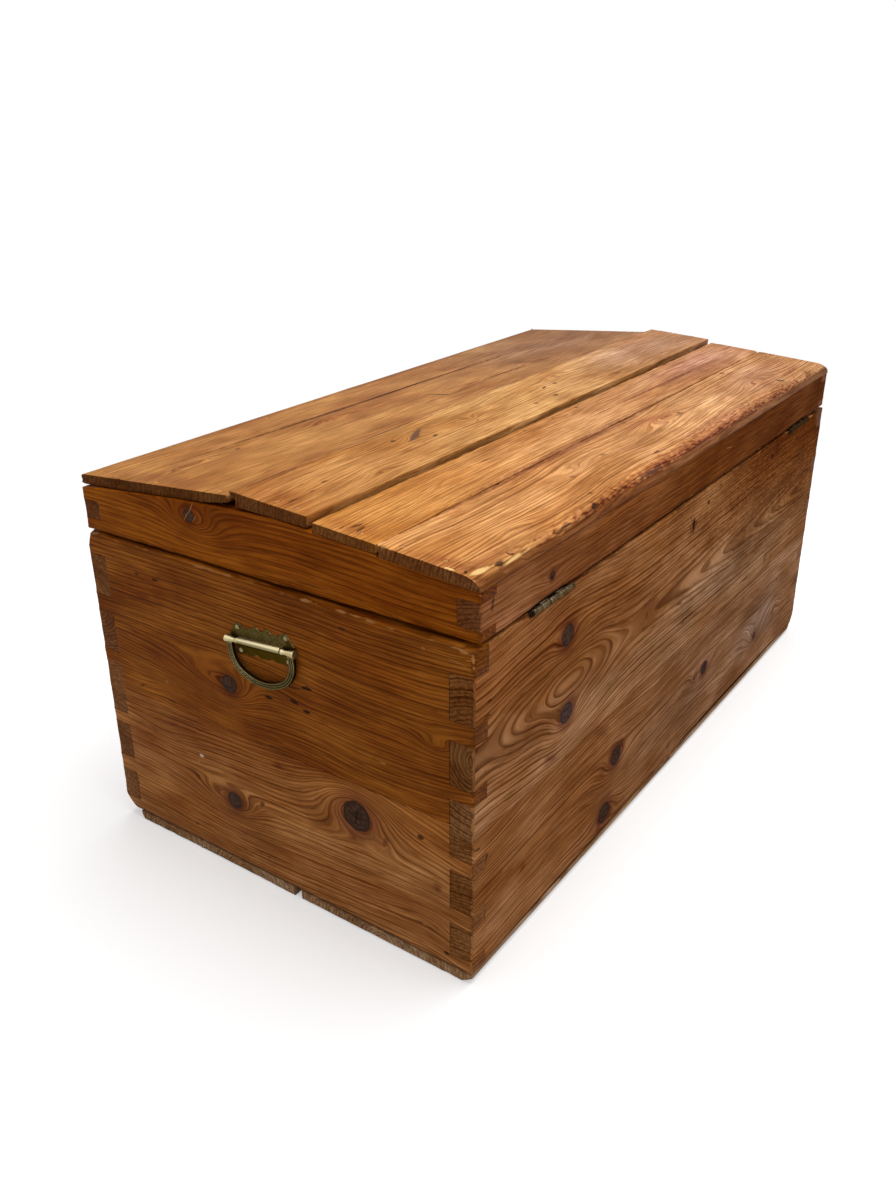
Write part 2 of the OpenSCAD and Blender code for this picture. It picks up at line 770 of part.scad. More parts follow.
// Outline of the handle's plate as (y, height above the pin): two peaks over small lobes
module plate_outline() {
    body_w = 2 * screw_side + 5;
    low = screw_rise + 4;
    lobe_r = 7;
    difference() {
        union() {
            translate([-body_w / 2, -low]) square([body_w, 2 * low - 3]);
            for (s = [-1, 1]) {
                polygon([
                    [s * (screw_side - 11), low - 4], [s * (screw_side - 3), screw_rise + 5.2],
                    [s * (screw_side + 2.5), screw_rise + 4.4], [s * (screw_side + 11), 5],
                    [s * (screw_side + 8), -2], [s * (screw_side + 2), -8]
                ]);
                translate([s * 8.2, low - lobe_r + 0.5]) circle(r = lobe_r);
                translate([s * screw_side, -screw_rise]) circle(r = 4.8);
            }
        }
        for (s = [-1, 1]) {
            translate([s * 18.5, low + 1.2]) circle(r = 3.8);
            translate([s * 11, -low - 2.2]) circle(r = 5);
            translate([s * (screw_side - 7.5), -low - 1]) circle(r = 2.6);
        }
    }
}

// A handle's plate with the sleeve rolled along its middle
module handle_plate() {
    color(old_brass) difference() {
        union() {
            rotate([90, 0, 90]) linear_extrude(plate_t) plate_outline();
            translate([handle_stand, sleeve_len / 2, 0]) rotate([90, 0, 0])
                cylinder(r = sleeve_r, h = sleeve_len);
            translate([0, -sleeve_len / 2, -sleeve_r * 0.8])
                cube([handle_stand - 1, sleeve_len, sleeve_r * 1.6]);
        }
        translate([handle_stand, handle_len, 0]) rotate([90, 0, 0])
            cylinder(r = handle_pin_r + bore_air, h = 2 * handle_len);
        plate_screw_set(fit);
    }
}

module handle_pin() {
    color(old_brass) translate([handle_stand, handle_len / 2 - 1, 0]) rotate([90, 0, 0])
        cylinder(r = handle_pin_r, h = handle_len - 2);
}

// Outline of the bail at a distance from the middle of its bar: legs, round corners, shallow foot
function bail_curve(off) = concat(
    [[bail_w / 2 + off, 0]],
    [for (i = [0:bail_steps]) let (a = bail_turn * i / bail_steps, r = bail_corner_r + off)
        [bail_centre_y + r * cos(a), -bail_leg - r * sin(a)]],
    [for (i = [1:2 * bail_steps - 1]) let (a = bail_turn + (90 - bail_turn) * i / bail_steps,
        r = bail_bottom_r + off) [r * cos(a), bail_shift * sin(bail_turn) - bail_leg - r * sin(a)]],
    [for (i = [bail_steps:-1:0]) let (a = bail_turn * i / bail_steps, r = bail_corner_r + off)
        [-bail_centre_y - r * cos(a), -bail_leg - r * sin(a)]],
    [[-bail_w / 2 - off, 0]]
);

// A flat hoop between two distances from the middle of the bar, and between two heights
module hoop(off0, off1, x0, x1) {
    translate([x0, 0, 0]) rotate([90, 0, 90]) linear_extrude(x1 - x0) difference() {
        polygon(bail_curve(off1));
        polygon(concat(bail_curve(off0), [[-bail_w / 2 - off0, past], [bail_w / 2 + off0, past]]));
    }
}

// Ear of the bail for y above 0, turned about the pin
module ear() {
    ear_y0 = sleeve_len / 2 + ear_gap;
    ear_y1 = handle_len / 2;
    rotate([-90, 0, 0]) rotate_extrude() polygon([
        [0, ear_y0], [ear_collar_r, ear_y0], [ear_collar_r, ear_y0 + 1.6], [ear_neck_r, ear_y0 + 3.4],
        [ear_neck_r, ear_y1 - 11], [ear_collar_r, ear_y1 - 6.5], [ear_mouth_r, ear_y1 - 1.2],
        [ear_mouth_r, ear_y1], [0, ear_y1]
    ]);
}

// The bail hangs from the pin: a bar with three ribs along its face, and an ear on each leg
module handle_bail() {
    color(old_brass) translate([handle_stand, 0, 0]) difference() {
        union() {
            hoop(-bar_w / 2, bar_w / 2, -bar_t / 2, bar_t / 2 - rib_h);
            for (i = [-1:1])
                hoop(i * rib_pitch - rib_w / 2, i * rib_pitch + rib_w / 2,
                    bar_t / 2 - rib_h - overlap, bar_t / 2);
            ear();
            mirror([0, 1, 0]) ear();
        }
        translate([0, handle_len, 0]) rotate([90, 0, 0])
            cylinder(r = handle_pin_r + bore_air, h = 2 * handle_len);
    }
}

module handle_screws() {
    color(old_iron) plate_screw_set();
}

module right_handle_plate() { on_end(true) handle_plate(); }
module right_handle_pin() { on_end(true) handle_pin(); }
module right_handle_bail() { on_end(true) handle_bail(); }
module right_handle_screws() { on_end(true) handle_screws(); }
module left_handle_plate() { on_end(false) handle_plate(); }
module left_handle_pin() { on_end(false) handle_pin(); }
module left_handle_bail() { on_end(false) handle_bail(); }
module left_handle_screws() { on_end(false) handle_screws(); }
module left_end_lower_board() { end_lower_board(false); }
module left_end_upper_board() { end_upper_board(false); }
module right_end_lower_board() { end_lower_board(true); }
module right_end_upper_board() { end_upper_board(true); }
module lid_left_end_rail() { end_rail(left_rail_plan); }
module lid_right_end_rail() { end_rail(right_rail_plan); }

front_lower_board();
front_upper_board();
back_lower_board();
back_upper_board();
left_end_lower_board();
left_end_upper_board();
right_end_lower_board();
right_end_upper_board();
bottom_board_front();
bottom_board_middle();
bottom_board_back();
bottom_nails();
lid_front_rail();
lid_back_rail();
lid_left_end_rail();
lid_right_end_rail();
lid_board_front();
lid_board_crown();
lid_board_inner();
lid_board_back();
lid_nails();
right_hinge_lower_leaf();
right_hinge_upper_leaf();
right_hinge_pin();
left_hinge_lower_leaf();
left_hinge_upper_leaf();
left_hinge_pin();
hinge_lower_screws();
hinge_upper_screws();
right_handle_plate();
right_handle_pin();
right_handle_bail();
right_handle_screws();
left_handle_plate();
left_handle_pin();
left_handle_bail();
left_handle_screws();
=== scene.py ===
# %% [markdown]
# # A pine blanket chest
# This lesson dresses an exact model of an old chest. The model comes from a CAD program and stays the frame:
# every board here is worked from a copy of its CAD board, so that all joints stay where they are.
# Lengths are metres in the scene. Materials count in millimetres, because grain is easier to think of that way.

# %% Load the frame
import math
import random

import bmesh
import bpy
from mathutils import Matrix, Vector


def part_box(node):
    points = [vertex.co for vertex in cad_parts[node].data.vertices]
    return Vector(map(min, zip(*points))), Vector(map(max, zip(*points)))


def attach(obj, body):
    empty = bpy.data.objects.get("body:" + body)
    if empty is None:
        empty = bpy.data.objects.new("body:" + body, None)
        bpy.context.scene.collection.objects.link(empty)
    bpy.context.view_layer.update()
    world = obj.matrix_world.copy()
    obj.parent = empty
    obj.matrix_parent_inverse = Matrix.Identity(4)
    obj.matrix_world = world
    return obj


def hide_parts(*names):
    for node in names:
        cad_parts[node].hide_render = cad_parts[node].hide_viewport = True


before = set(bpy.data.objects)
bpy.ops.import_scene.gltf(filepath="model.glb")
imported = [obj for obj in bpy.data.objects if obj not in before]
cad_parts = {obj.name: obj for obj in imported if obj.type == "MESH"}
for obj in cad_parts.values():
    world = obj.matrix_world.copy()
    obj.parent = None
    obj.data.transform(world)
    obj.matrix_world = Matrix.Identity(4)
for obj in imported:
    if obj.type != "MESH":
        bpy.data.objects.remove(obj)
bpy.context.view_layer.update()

MM = 0.001

# %% [markdown]
# ## Camera
# The photograph looks down on one corner of the chest. A camera is placed by three directions: what is right of it,
# what is above it and what is behind it. They are unit vectors, so they can stand in a matrix as they are.

# %% Camera
camera_data = bpy.data.cameras.new("camera")
camera_data.lens = 32.32
camera_data.sensor_width = 36
camera = bpy.data.objects.new("camera", camera_data)
bpy.context.collection.objects.link(camera)
to_right = (-0.56902, 0.82232, -0.00299)
to_above = (-0.35049, -0.23924, 0.90549)
to_behind = (0.74389, 0.51629, 0.42435)
camera.matrix_world = Matrix((to_right, to_above, to_behind)).transposed().to_4x4()
camera.matrix_world.translation = (1.1556, 0.6963, 0.8066)
bpy.context.scene.camera = camera
print("camera stands", round(camera.location.length, 2), "m from the middle of the chest's foot")

# %% [markdown]
# ## Small helpers for shader nodes
# A material is a net of nodes. A few short functions keep the net readable: one adds a node with its settings,
# one is a pocket calculator, one is a soft step, one mixes colours and one makes soft noise. A group is a piece of
# net with named inputs and outputs that can be used again.

# %% Node helpers
def add(tree, kind, given=(), **settings):
    """One node with its settings, and a value or a link on each input that is given. A colour may lack its alpha."""
    node = tree.nodes.new(kind)
    for setting, value in settings.items():
        setattr(node, setting, value)
    for label, value in dict(given).items():
        socket = node.inputs[label]
        if isinstance(value, bpy.types.NodeSocket):
            tree.links.new(value, socket)
        else:
            socket.default_value = (*value, 1) if socket.type == "RGBA" and len(value) == 3 else value
    return node


def calc(tree, operation, *values):
    """The result of one sum, such as calc(tree, "ADD", a, b)."""
    return add(tree, "ShaderNodeMath", enumerate(values), operation=operation).outputs[0]


def ramp(tree, value, start, end, low=0.0, high=1.0):
    """A soft step: low before start, high after end."""
    given = {"Value": value, "From Min": start, "From Max": end, "To Min": low, "To Max": high}
    return add(tree, "ShaderNodeMapRange", given, interpolation_type="SMOOTHSTEP").outputs[0]


def blend(tree, share, first, second, kind="MIX"):
    """Two colours mixed. The mixing node keeps its share on socket 0 and its colours on sockets 6 and 7."""
    return add(tree, "ShaderNodeMix", {0: share, 6: first, 7: second}, data_type="RGBA", blend_type=kind).outputs[2]


def cloud(tree, place, stretch, detail=2.0, shift=None):
    """Soft noise from 0 to 1. The three stretch numbers are its steps per millimetre."""
    scaled = add(tree, "ShaderNodeVectorMath", {0: place, 1: stretch}, operation="MULTIPLY").outputs[0]
    if shift is not None:
        scaled = add(tree, "ShaderNodeVectorMath", {0: scaled, 1: shift}, operation="ADD").outputs[0]
    return add(tree, "ShaderNodeTexNoise", {"Vector": scaled, "Scale": 1.0, "Detail": detail}).outputs[0]


FLOAT, COLOUR, VECTOR = "NodeSocketFloat", "NodeSocketColor", "NodeSocketVector"


def named(kind, *labels):
    """The names and kind of a few sockets of one kind."""
    return [(label, kind) for label in labels]


def new_group(name, inputs, outputs):
    """An empty group with named sockets; returns it with its inner ends."""
    tree = bpy.data.node_groups.new(name, "ShaderNodeTree")
    for label, kind in inputs:
        tree.interface.new_socket(label, in_out="INPUT", socket_type=kind)
    for label, kind in outputs:
        tree.interface.new_socket(label, in_out="OUTPUT", socket_type=kind)
    return tree, tree.nodes.new("NodeGroupInput").outputs, tree.nodes.new("NodeGroupOutput").inputs


def use(tree, group, given):
    """A group placed in a net; returns its outputs."""
    return add(tree, "ShaderNodeGroup", given, node_tree=group).outputs


def square(tree, value):
    """A number times itself."""
    return calc(tree, "MULTIPLY", value, value)


def length(tree, first, second):
    """The length of the long side of a right triangle."""
    return calc(tree, "SQRT", calc(tree, "ADD", square(tree, first), square(tree, second)))


def in_millimetres(tree):
    """The place on the object, in millimetres."""
    where = add(tree, "ShaderNodeTexCoord").outputs["Object"]
    return add(tree, "ShaderNodeVectorMath", {0: where, "Scale": 1 / MM}, operation="SCALE").outputs[0]


def place_and_normal(tree):
    """The X, Y and Z of the place in millimetres, and those of the normal."""
    ways = in_millimetres(tree), add(tree, "ShaderNodeTexCoord").outputs["Normal"]
    return [dict(zip("XYZ", add(tree, "ShaderNodeSeparateXYZ", {0: way}).outputs)) for way in ways]


def finish_net(tree, shader):
    """Links a shader to the surface."""
    tree.links.new(shader, add(tree, "ShaderNodeOutputMaterial").inputs["Surface"])


print("node helpers ready")

# %% [markdown]
# ## How pine gets its figure
# A board is a slice of a log. The log's yearly rings are cylinders round the pith, and a dark line shows wherever
# a ring meets the face of the board. So the pattern isn't painted: it is the distance from the pith.
# Where the pith runs close behind the face the lines spread into arches and ovals, and far from it they run straight.
# A branch lifts the rings as a finger lifts cloth. Where the board cuts that lump the lines close round the knot on one
# side and crowd on the other, and they run out in a long nest along the board. So a knot adds a lump to the distance
# from the pith. A lump without a knot is an eye: the branch ended just below the face.

# %% Swell group
def lump(tree, given):
    """Ways along and across from the middle of a lump, and the distance from the pith with the lump on it."""
    part = add(tree, "ShaderNodeSeparateXYZ", {0: given["Place"]}).outputs
    from_along = calc(tree, "SUBTRACT", part[0], given["Along"])
    from_across = calc(tree, "SUBTRACT", part[1], given["Across"])
    stretch = ramp(tree, from_along, -6.0, 6.0, given["Low side"], given["High side"])
    drawn_in = calc(tree, "DIVIDE", from_along, stretch)
    distance_2 = calc(tree, "ADD", square(tree, drawn_in), square(tree, from_across))
    reach_2 = square(tree, given["Reach"])
    share = square(tree, calc(tree, "DIVIDE", reach_2, calc(tree, "ADD", distance_2, reach_2)))
    return from_along, from_across, calc(tree, "MULTIPLY_ADD", share, given["Height"], given["Swell"])


LUMP = named(VECTOR, "Place") + named(FLOAT, "Swell", "Along", "Across", "Height", "Reach", "Low side", "High side")
swell_group, given, result = new_group("Swell", LUMP, named(FLOAT, "Swell"))
swell_group.links.new(lump(swell_group, given)[2], result["Swell"])
print("swell group:", len(swell_group.nodes), "nodes")

# %% [markdown]
# The knot group adds the knot itself: its dark core with a broken ring, the stained halo round it, and a shift that
# makes the lines beside it give way. A board's knots stand in a row, and each group hands its sums on to the next.

# %% Knot group
KNOT_SUMS = ("Swell", "Shift", "Core", "Halo", "Rings")
knot_group, given, result = new_group("Knot", LUMP + named(FLOAT, *KNOT_SUMS[1:], "Radius"), named(FLOAT, *KNOT_SUMS))
tree = knot_group
from_along, from_across, swollen = lump(tree, given)
tree.links.new(swollen, result["Swell"])
around_2 = square(tree, calc(tree, "MULTIPLY", given["Radius"], 1.5))
flattened = calc(tree, "MULTIPLY_ADD", square(tree, from_along), 0.4, square(tree, from_across))
spread = calc(tree, "ADD", flattened, around_2)
bend = calc(tree, "DIVIDE", around_2, spread)
tree.links.new(calc(tree, "MULTIPLY_ADD", from_across, bend, given["Shift"]), result["Shift"])
rough_outline = calc(tree, "SUBTRACT", cloud(tree, given["Place"], (0.09, 0.09, 0.02), 1.0), 0.5)
out = calc(tree, "DIVIDE", length(tree, from_along, from_across), given["Radius"])
out = calc(tree, "MULTIPLY_ADD", rough_outline, 0.18, out)
core = ramp(tree, out, 1.06, 0.88)
tree.links.new(calc(tree, "MAXIMUM", given["Core"], core), result["Core"])
tree.links.new(calc(tree, "MAXIMUM", given["Halo"], ramp(tree, out, 2.2, 0.9)), result["Halo"])
blot = cloud(tree, given["Place"], (0.22, 0.22, 0.1), 3.0)
ring_line = calc(tree, "MAXIMUM", ramp(tree, blot, 0.42, 0.62, 0.0, 0.8), ramp(tree, out, 0.66, 0.95))
tree.links.new(calc(tree, "MAXIMUM", given["Rings"], calc(tree, "MULTIPLY", ring_line, core)), result["Rings"])
print("knot group:", len(tree.nodes), "nodes")

# %% [markdown]
# The next group cuts the board out of the log. It also lays fine fibres along the board and slow clouds of tone over
# it, and it turns to end grain where a face looks along the board: there the same rings show as arcs.

# %% Board group
KNOT_PALE, KNOT_DARK = (0.085, 0.042, 0.024), (0.030, 0.014, 0.009)
HALO_TINT = (0.60, 0.48, 0.62)
board_group, given, result = new_group(
    "Pine board",
    named(VECTOR, "Place") + named(FLOAT, *KNOT_SUMS, "End grain", "Heart", "Bow", "Ring", "Wander", "Contrast")
    + named(VECTOR, "Seed") + named(COLOUR, "Pale", "Deep", "Line", "End tint"),
    named(COLOUR, "Color") + named(FLOAT, "Relief", "Gloss"))
tree = board_group
place = given["Place"]
part = add(tree, "ShaderNodeSeparateXYZ", {0: place}).outputs
slow = calc(tree, "SUBTRACT", cloud(tree, place, (0.0032, 0.011, 0.011), 2.0, given["Seed"]), 0.5)
quick = calc(tree, "SUBTRACT", cloud(tree, place, (0.02, 0.09, 0.09), 2.0, given["Seed"]), 0.5)
beside = calc(tree, "SUBTRACT", calc(tree, "SUBTRACT", part[1], given["Heart"]), given["Shift"])
beside = calc(tree, "MULTIPLY_ADD", slow, given["Wander"], beside)
beside = calc(tree, "MULTIPLY_ADD", quick, 2.6, beside)
below = calc(tree, "ADD", given["Bow"], part[2])
radius = calc(tree, "ADD", length(tree, beside, below), given["Swell"])
uneven = add(tree, "ShaderNodeTexNoise", {"W": calc(tree, "MULTIPLY", radius, 0.11), "Scale": 1.0, "Detail": 1.0},
             noise_dimensions="1D").outputs[0]
years = calc(tree, "MULTIPLY_ADD", uneven, 1.5, calc(tree, "DIVIDE", radius, given["Ring"]))
season = calc(tree, "FRACT", years)
late = calc(tree, "MULTIPLY", ramp(tree, season, 0.38, 0.86), ramp(tree, season, 1.0, 0.93))
each_year = add(tree, "ShaderNodeTexWhiteNoise", {"W": calc(tree, "FLOOR", years)}, noise_dimensions="1D").outputs[0]
late = calc(tree, "MULTIPLY", late, calc(tree, "MULTIPLY_ADD", each_year, 0.55, 0.45))
patches = cloud(tree, place, (0.007, 0.017, 0.02), 3.0, given["Seed"])
strength = calc(tree, "MULTIPLY", given["Contrast"], ramp(tree, patches, 0.25, 0.6, 0.7, 1.0))
lines = calc(tree, "MULTIPLY", late, strength)
with_grain = add(tree, "ShaderNodeCombineXYZ", {0: part[0], 1: radius, 2: part[2]}).outputs[0]
fibre = cloud(tree, with_grain, (0.018, 0.40, 0.25), 5.0, given["Seed"])
dashes = cloud(tree, with_grain, (0.045, 0.75, 0.4), 3.0, (4.0, 8.0, 2.0))
mottle = cloud(tree, place, (0.012, 0.022, 0.022), 5.0, (6.0, 1.0, 4.0))
streak = cloud(tree, with_grain, (0.007, 0.2, 0.2), 3.0, given["Seed"])
tone = blend(tree, ramp(tree, patches, 0.3, 0.68), given["Pale"], given["Deep"])
tone = blend(tree, ramp(tree, streak, 0.35, 0.75, 0.0, 0.4), tone, given["Deep"])
tone = blend(tree, lines, tone, given["Line"])
lit_fibre = ramp(tree, fibre, 0.33, 0.67, 1.30, 0.80)
lit_fibre = calc(tree, "MULTIPLY", lit_fibre, ramp(tree, dashes, 0.58, 0.68, 1.0, 0.68))
lit_fibre = calc(tree, "MULTIPLY", lit_fibre, ramp(tree, mottle, 0.32, 0.68, 1.16, 0.86))
fibre_tint = add(tree, "ShaderNodeCombineXYZ", {
    n: calc(tree, "POWER", lit_fibre, power) for n, power in enumerate((1.0, 1.25, 1.6))}).outputs[0]
tone = blend(tree, 1.0, tone, fibre_tint, "MULTIPLY")
tone = blend(tree, given["Halo"], tone, HALO_TINT, "MULTIPLY")
tone = blend(tree, given["Core"], tone, blend(tree, given["Rings"], KNOT_PALE, KNOT_DARK))
end_tone = blend(tree, 1.0, tone, given["End tint"], "MULTIPLY")
pores = cloud(tree, place, (0.2, 1.5, 0.22), 2.0)
end_tone = blend(tree, ramp(tree, pores, 0.60, 0.72, 0.0, 0.6), end_tone, given["Line"])
tone = blend(tree, given["End grain"], tone, end_tone)
tree.links.new(tone, result["Color"])
relief = calc(tree, "MULTIPLY_ADD", late, 0.12, calc(tree, "MULTIPLY", fibre, 0.10))
relief = calc(tree, "MULTIPLY_ADD", given["Core"], 0.12, relief)
tree.links.new(relief, result["Relief"])
tree.links.new(calc(tree, "MULTIPLY_ADD", fibre, 0.16, calc(tree, "MULTIPLY", lines, -0.06)), result["Gloss"])
print("board group:", len(tree.nodes), "nodes")

# %% [markdown]
# ## Stains, marks and worn arrises
# A stain deepens the wood and leaves its grain visible, so it multiplies the colour; a few stains paint the grey
# sheen of grazing light instead. A mark is a dent, a hole or a scratch: it has its own colour and a depth; a few
# black marks without depth paint shadow. Both are ellipses with a ragged rim, turned any way.

# %% Stain group and mark group
def ellipse(tree, given):
    """1 inside a ragged ellipse on the board's face, 0 outside."""
    part = add(tree, "ShaderNodeSeparateXYZ", {0: given["Place"]}).outputs
    aside = calc(tree, "SUBTRACT", part[0], given["Along"])
    up = calc(tree, "SUBTRACT", part[1], given["Across"])
    cosine, sine = calc(tree, "COSINE", given["Turn"]), calc(tree, "SINE", given["Turn"])
    turned = calc(tree, "ADD", calc(tree, "MULTIPLY", aside, cosine), calc(tree, "MULTIPLY", up, sine))
    lifted = calc(tree, "SUBTRACT", calc(tree, "MULTIPLY", up, cosine), calc(tree, "MULTIPLY", aside, sine))
    turned = calc(tree, "DIVIDE", turned, given["Half length"])
    lifted = calc(tree, "DIVIDE", lifted, given["Half width"])
    near = cloud(tree, given["Place"], (0.1, 0.3, 0.3), 3.0)
    out = calc(tree, "MULTIPLY_ADD", calc(tree, "SUBTRACT", near, 0.5), given["Ragged"], length(tree, turned, lifted))
    on_face = ramp(tree, part[2], 6.0, 3.0)
    return calc(tree, "MULTIPLY", ramp(tree, out, 1.0, given["Firm"]), on_face)


SPOT = (named(COLOUR, "Color", "Tint") + named(VECTOR, "Place")
        + named(FLOAT, "Along", "Across", "Half length", "Half width", "Turn", "Ragged", "Firm", "Strength"))
stain_group, given, result = new_group("Stain", SPOT, named(COLOUR, "Color"))
share = calc(stain_group, "MULTIPLY", ellipse(stain_group, given), given["Strength"])
stain_group.links.new(blend(stain_group, share, given["Color"], given["Tint"], "MULTIPLY"), result["Color"])

mark_group, given, result = new_group(
    "Mark", SPOT + named(FLOAT, "Relief", "Depth"), named(COLOUR, "Color") + named(FLOAT, "Relief"))
shape = ellipse(mark_group, given)
share = calc(mark_group, "MULTIPLY", shape, given["Strength"])
mark_group.links.new(blend(mark_group, share, given["Color"], given["Tint"]), result["Color"])
dug = calc(mark_group, "MULTIPLY", shape, given["Depth"])
mark_group.links.new(calc(mark_group, "SUBTRACT", given["Relief"], dug), result["Relief"])
print("stain and mark groups ready")

# %% [markdown]
# Worn wood is paler, and it shows along the arrises, where the varnish went first. The script stores how near
# a vertex is to an arris in a mesh attribute, and the group breaks that even band up with noise. It also soils the
# arrises in places and sprinkles the whole face with small pale specks and specks of dirt.

# %% Worn arris group
BARE_WOOD = (0.38, 0.165, 0.052)
GRIME = (0.060, 0.022, 0.008)
SPECK_TAN = (0.45, 0.22, 0.08)
worn_group, given, result = new_group(
    "Worn arris", named(COLOUR, "Color") + named(VECTOR, "Place") + named(FLOAT, "Arris", "Amount"),
    named(COLOUR, "Color") + named(FLOAT, "Bare"))
tree = worn_group
flakes = cloud(tree, given["Place"], (0.07, 0.2, 0.2), 4.0)
wear = calc(tree, "MULTIPLY_ADD", given["Arris"], 0.9, 0.55)
rim = calc(tree, "MULTIPLY_ADD", calc(tree, "SUBTRACT", flakes, 0.5), 3.2, wear)
on_arris = calc(tree, "MINIMUM", calc(tree, "MULTIPLY", given["Arris"], 2.0), 1.0)
bare = calc(tree, "MULTIPLY", ramp(tree, rim, 1.05, 1.35), on_arris)
bare = calc(tree, "MULTIPLY", bare, given["Amount"])
soil = cloud(tree, given["Place"], (0.03, 0.09, 0.09), 3.0, (7.0, 3.0, 5.0))
soiled = calc(tree, "MULTIPLY", on_arris, ramp(tree, soil, 0.4, 0.65, 0.0, 0.6))
color = blend(tree, soiled, given["Color"], GRIME)
color = blend(tree, bare, color, BARE_WOOD)
specks = cloud(tree, given["Place"], (0.2, 0.7, 0.7), 1.0, (3.0, 9.0, 1.0))
color = blend(tree, ramp(tree, specks, 0.78, 0.83, 0.0, 0.5), color, SPECK_TAN)
dirt = cloud(tree, given["Place"], (0.13, 0.45, 0.45), 1.0, (13.0, 2.0, 8.0))
color = blend(tree, ramp(tree, dirt, 0.78, 0.83, 0.0, 0.65), color, GRIME)
tree.links.new(color, result["Color"])
tree.links.new(bare, result["Bare"])
print("worn group:", len(tree.nodes), "nodes")

# %% [markdown]
# ## The pine of one board
# Each board gets its own material, because no two boards show the same figure. Three tones go with a board's own
# colour. The colour drifts along and across a board, as light and hands reached it, and stains and marks lie on it.
# On some boards drift tints and stains that raise the blue paint the sheen and glare of grazing light.

# %% Tones, drift, stains and marks
def tones_of(tone):
    """The pale early wood, the deeper patches and the dark lines that go with a board's own tone."""
    return [tuple(value * share for value, share in zip(tone, shares))
            for shares in ((1.45, 1.7, 2.1), (1.0, 0.95, 0.85), (0.40, 0.27, 0.13))]


INSIDE = (0.33, 0.165, 0.066)
BLACK = (0.016, 0.007, 0.003)
NO_SHINE = 0.001
DENT = 0.4


def stage_net(material):
    """A material's empty net."""
    material.use_nodes = True
    material.node_tree.nodes.clear()
    return material.node_tree


def drifting(tree, color, share, at_mm, stops):
    """Multiplies the colour by a tint that changes slowly from stop to stop, each (place in mm, tint)."""
    if not stops:
        return color
    begin, stop_at = stops[0][0], stops[-1][0]
    way = calc(tree, "DIVIDE", calc(tree, "SUBTRACT", at_mm, begin), stop_at - begin)
    tints = add(tree, "ShaderNodeValToRGB", {0: way})
    marks = tints.color_ramp.elements
    marks[0].color, marks[1].color = (*stops[0][1], 1), (*stops[-1][1], 1)
    for at, tint in stops[1:-1]:
        marks.new((at - begin) / (stop_at - begin)).color = (*tint, 1)
    return blend(tree, share, color, tints.outputs[0], "MULTIPLY")


def with_stains(tree, color, place, spots, ragged, firm):
    """The colour under a list of stains, (along, across, half length, half width, turn, tint, strength) each."""
    for at, up, half_length, half_width, turn, tint, strength in spots:
        color = use(tree, stain_group, {
            "Color": color, "Place": place, "Along": at, "Across": up, "Half length": half_length,
            "Half width": half_width, "Turn": math.radians(turn), "Ragged": ragged, "Firm": firm, "Tint": tint,
            "Strength": strength})["Color"]
    return color


def with_marks(tree, color, relief, place, marks):
    """The colour and relief under a list of marks, (along, across, half length, half width, turn, tint, strength,
    depth) each. A depth of 1 is DENT millimetres."""
    for at, up, half_length, half_width, turn, tint, strength, deep in marks:
        marked = use(tree, mark_group, {
            "Color": color, "Relief": relief, "Place": place, "Along": at, "Across": up, "Half length": half_length,
            "Half width": half_width, "Turn": math.radians(turn), "Ragged": 0.9, "Firm": 0.55, "Tint": tint,
            "Strength": strength, "Depth": deep * DENT})
        color, relief = marked["Color"], marked["Relief"]
    return color, relief


print("tones, drift, stains and marks ready")

# %% [markdown]
# The pith of a real trunk isn't straight: where it comes near the face, the lines open into arches. So its depth
# below the face is a curve along the board. The inner face of each board was never varnished: it has one raw tone.

# %% Pine material
DEEPEST = 100.0


def pith_curve(tree, at_mm, bow):
    """The depth of the pith below the face, a smooth curve through (place, depth) in millimetres. The curve's node
    holds numbers from 0 to 1, so a depth is kept there as a share of DEEPEST."""
    first, last = bow[0][0], bow[-1][0]
    way = calc(tree, "DIVIDE", calc(tree, "SUBTRACT", at_mm, first), last - first)
    curve = add(tree, "ShaderNodeFloatCurve", {1: way})
    points = curve.mapping.curves[0].points
    for number, (at, pith) in enumerate(bow):
        spot = ((at - first) / (last - first), pith / DEEPEST)
        if number < 2:
            points[number].location = (number, 0)
        if number in (0, len(bow) - 1):
            points[min(number, 1)].location = spot
        else:
            points.new(*spot)
    curve.mapping.update()
    return calc(tree, "MULTIPLY", curve.outputs[0], DEEPEST)


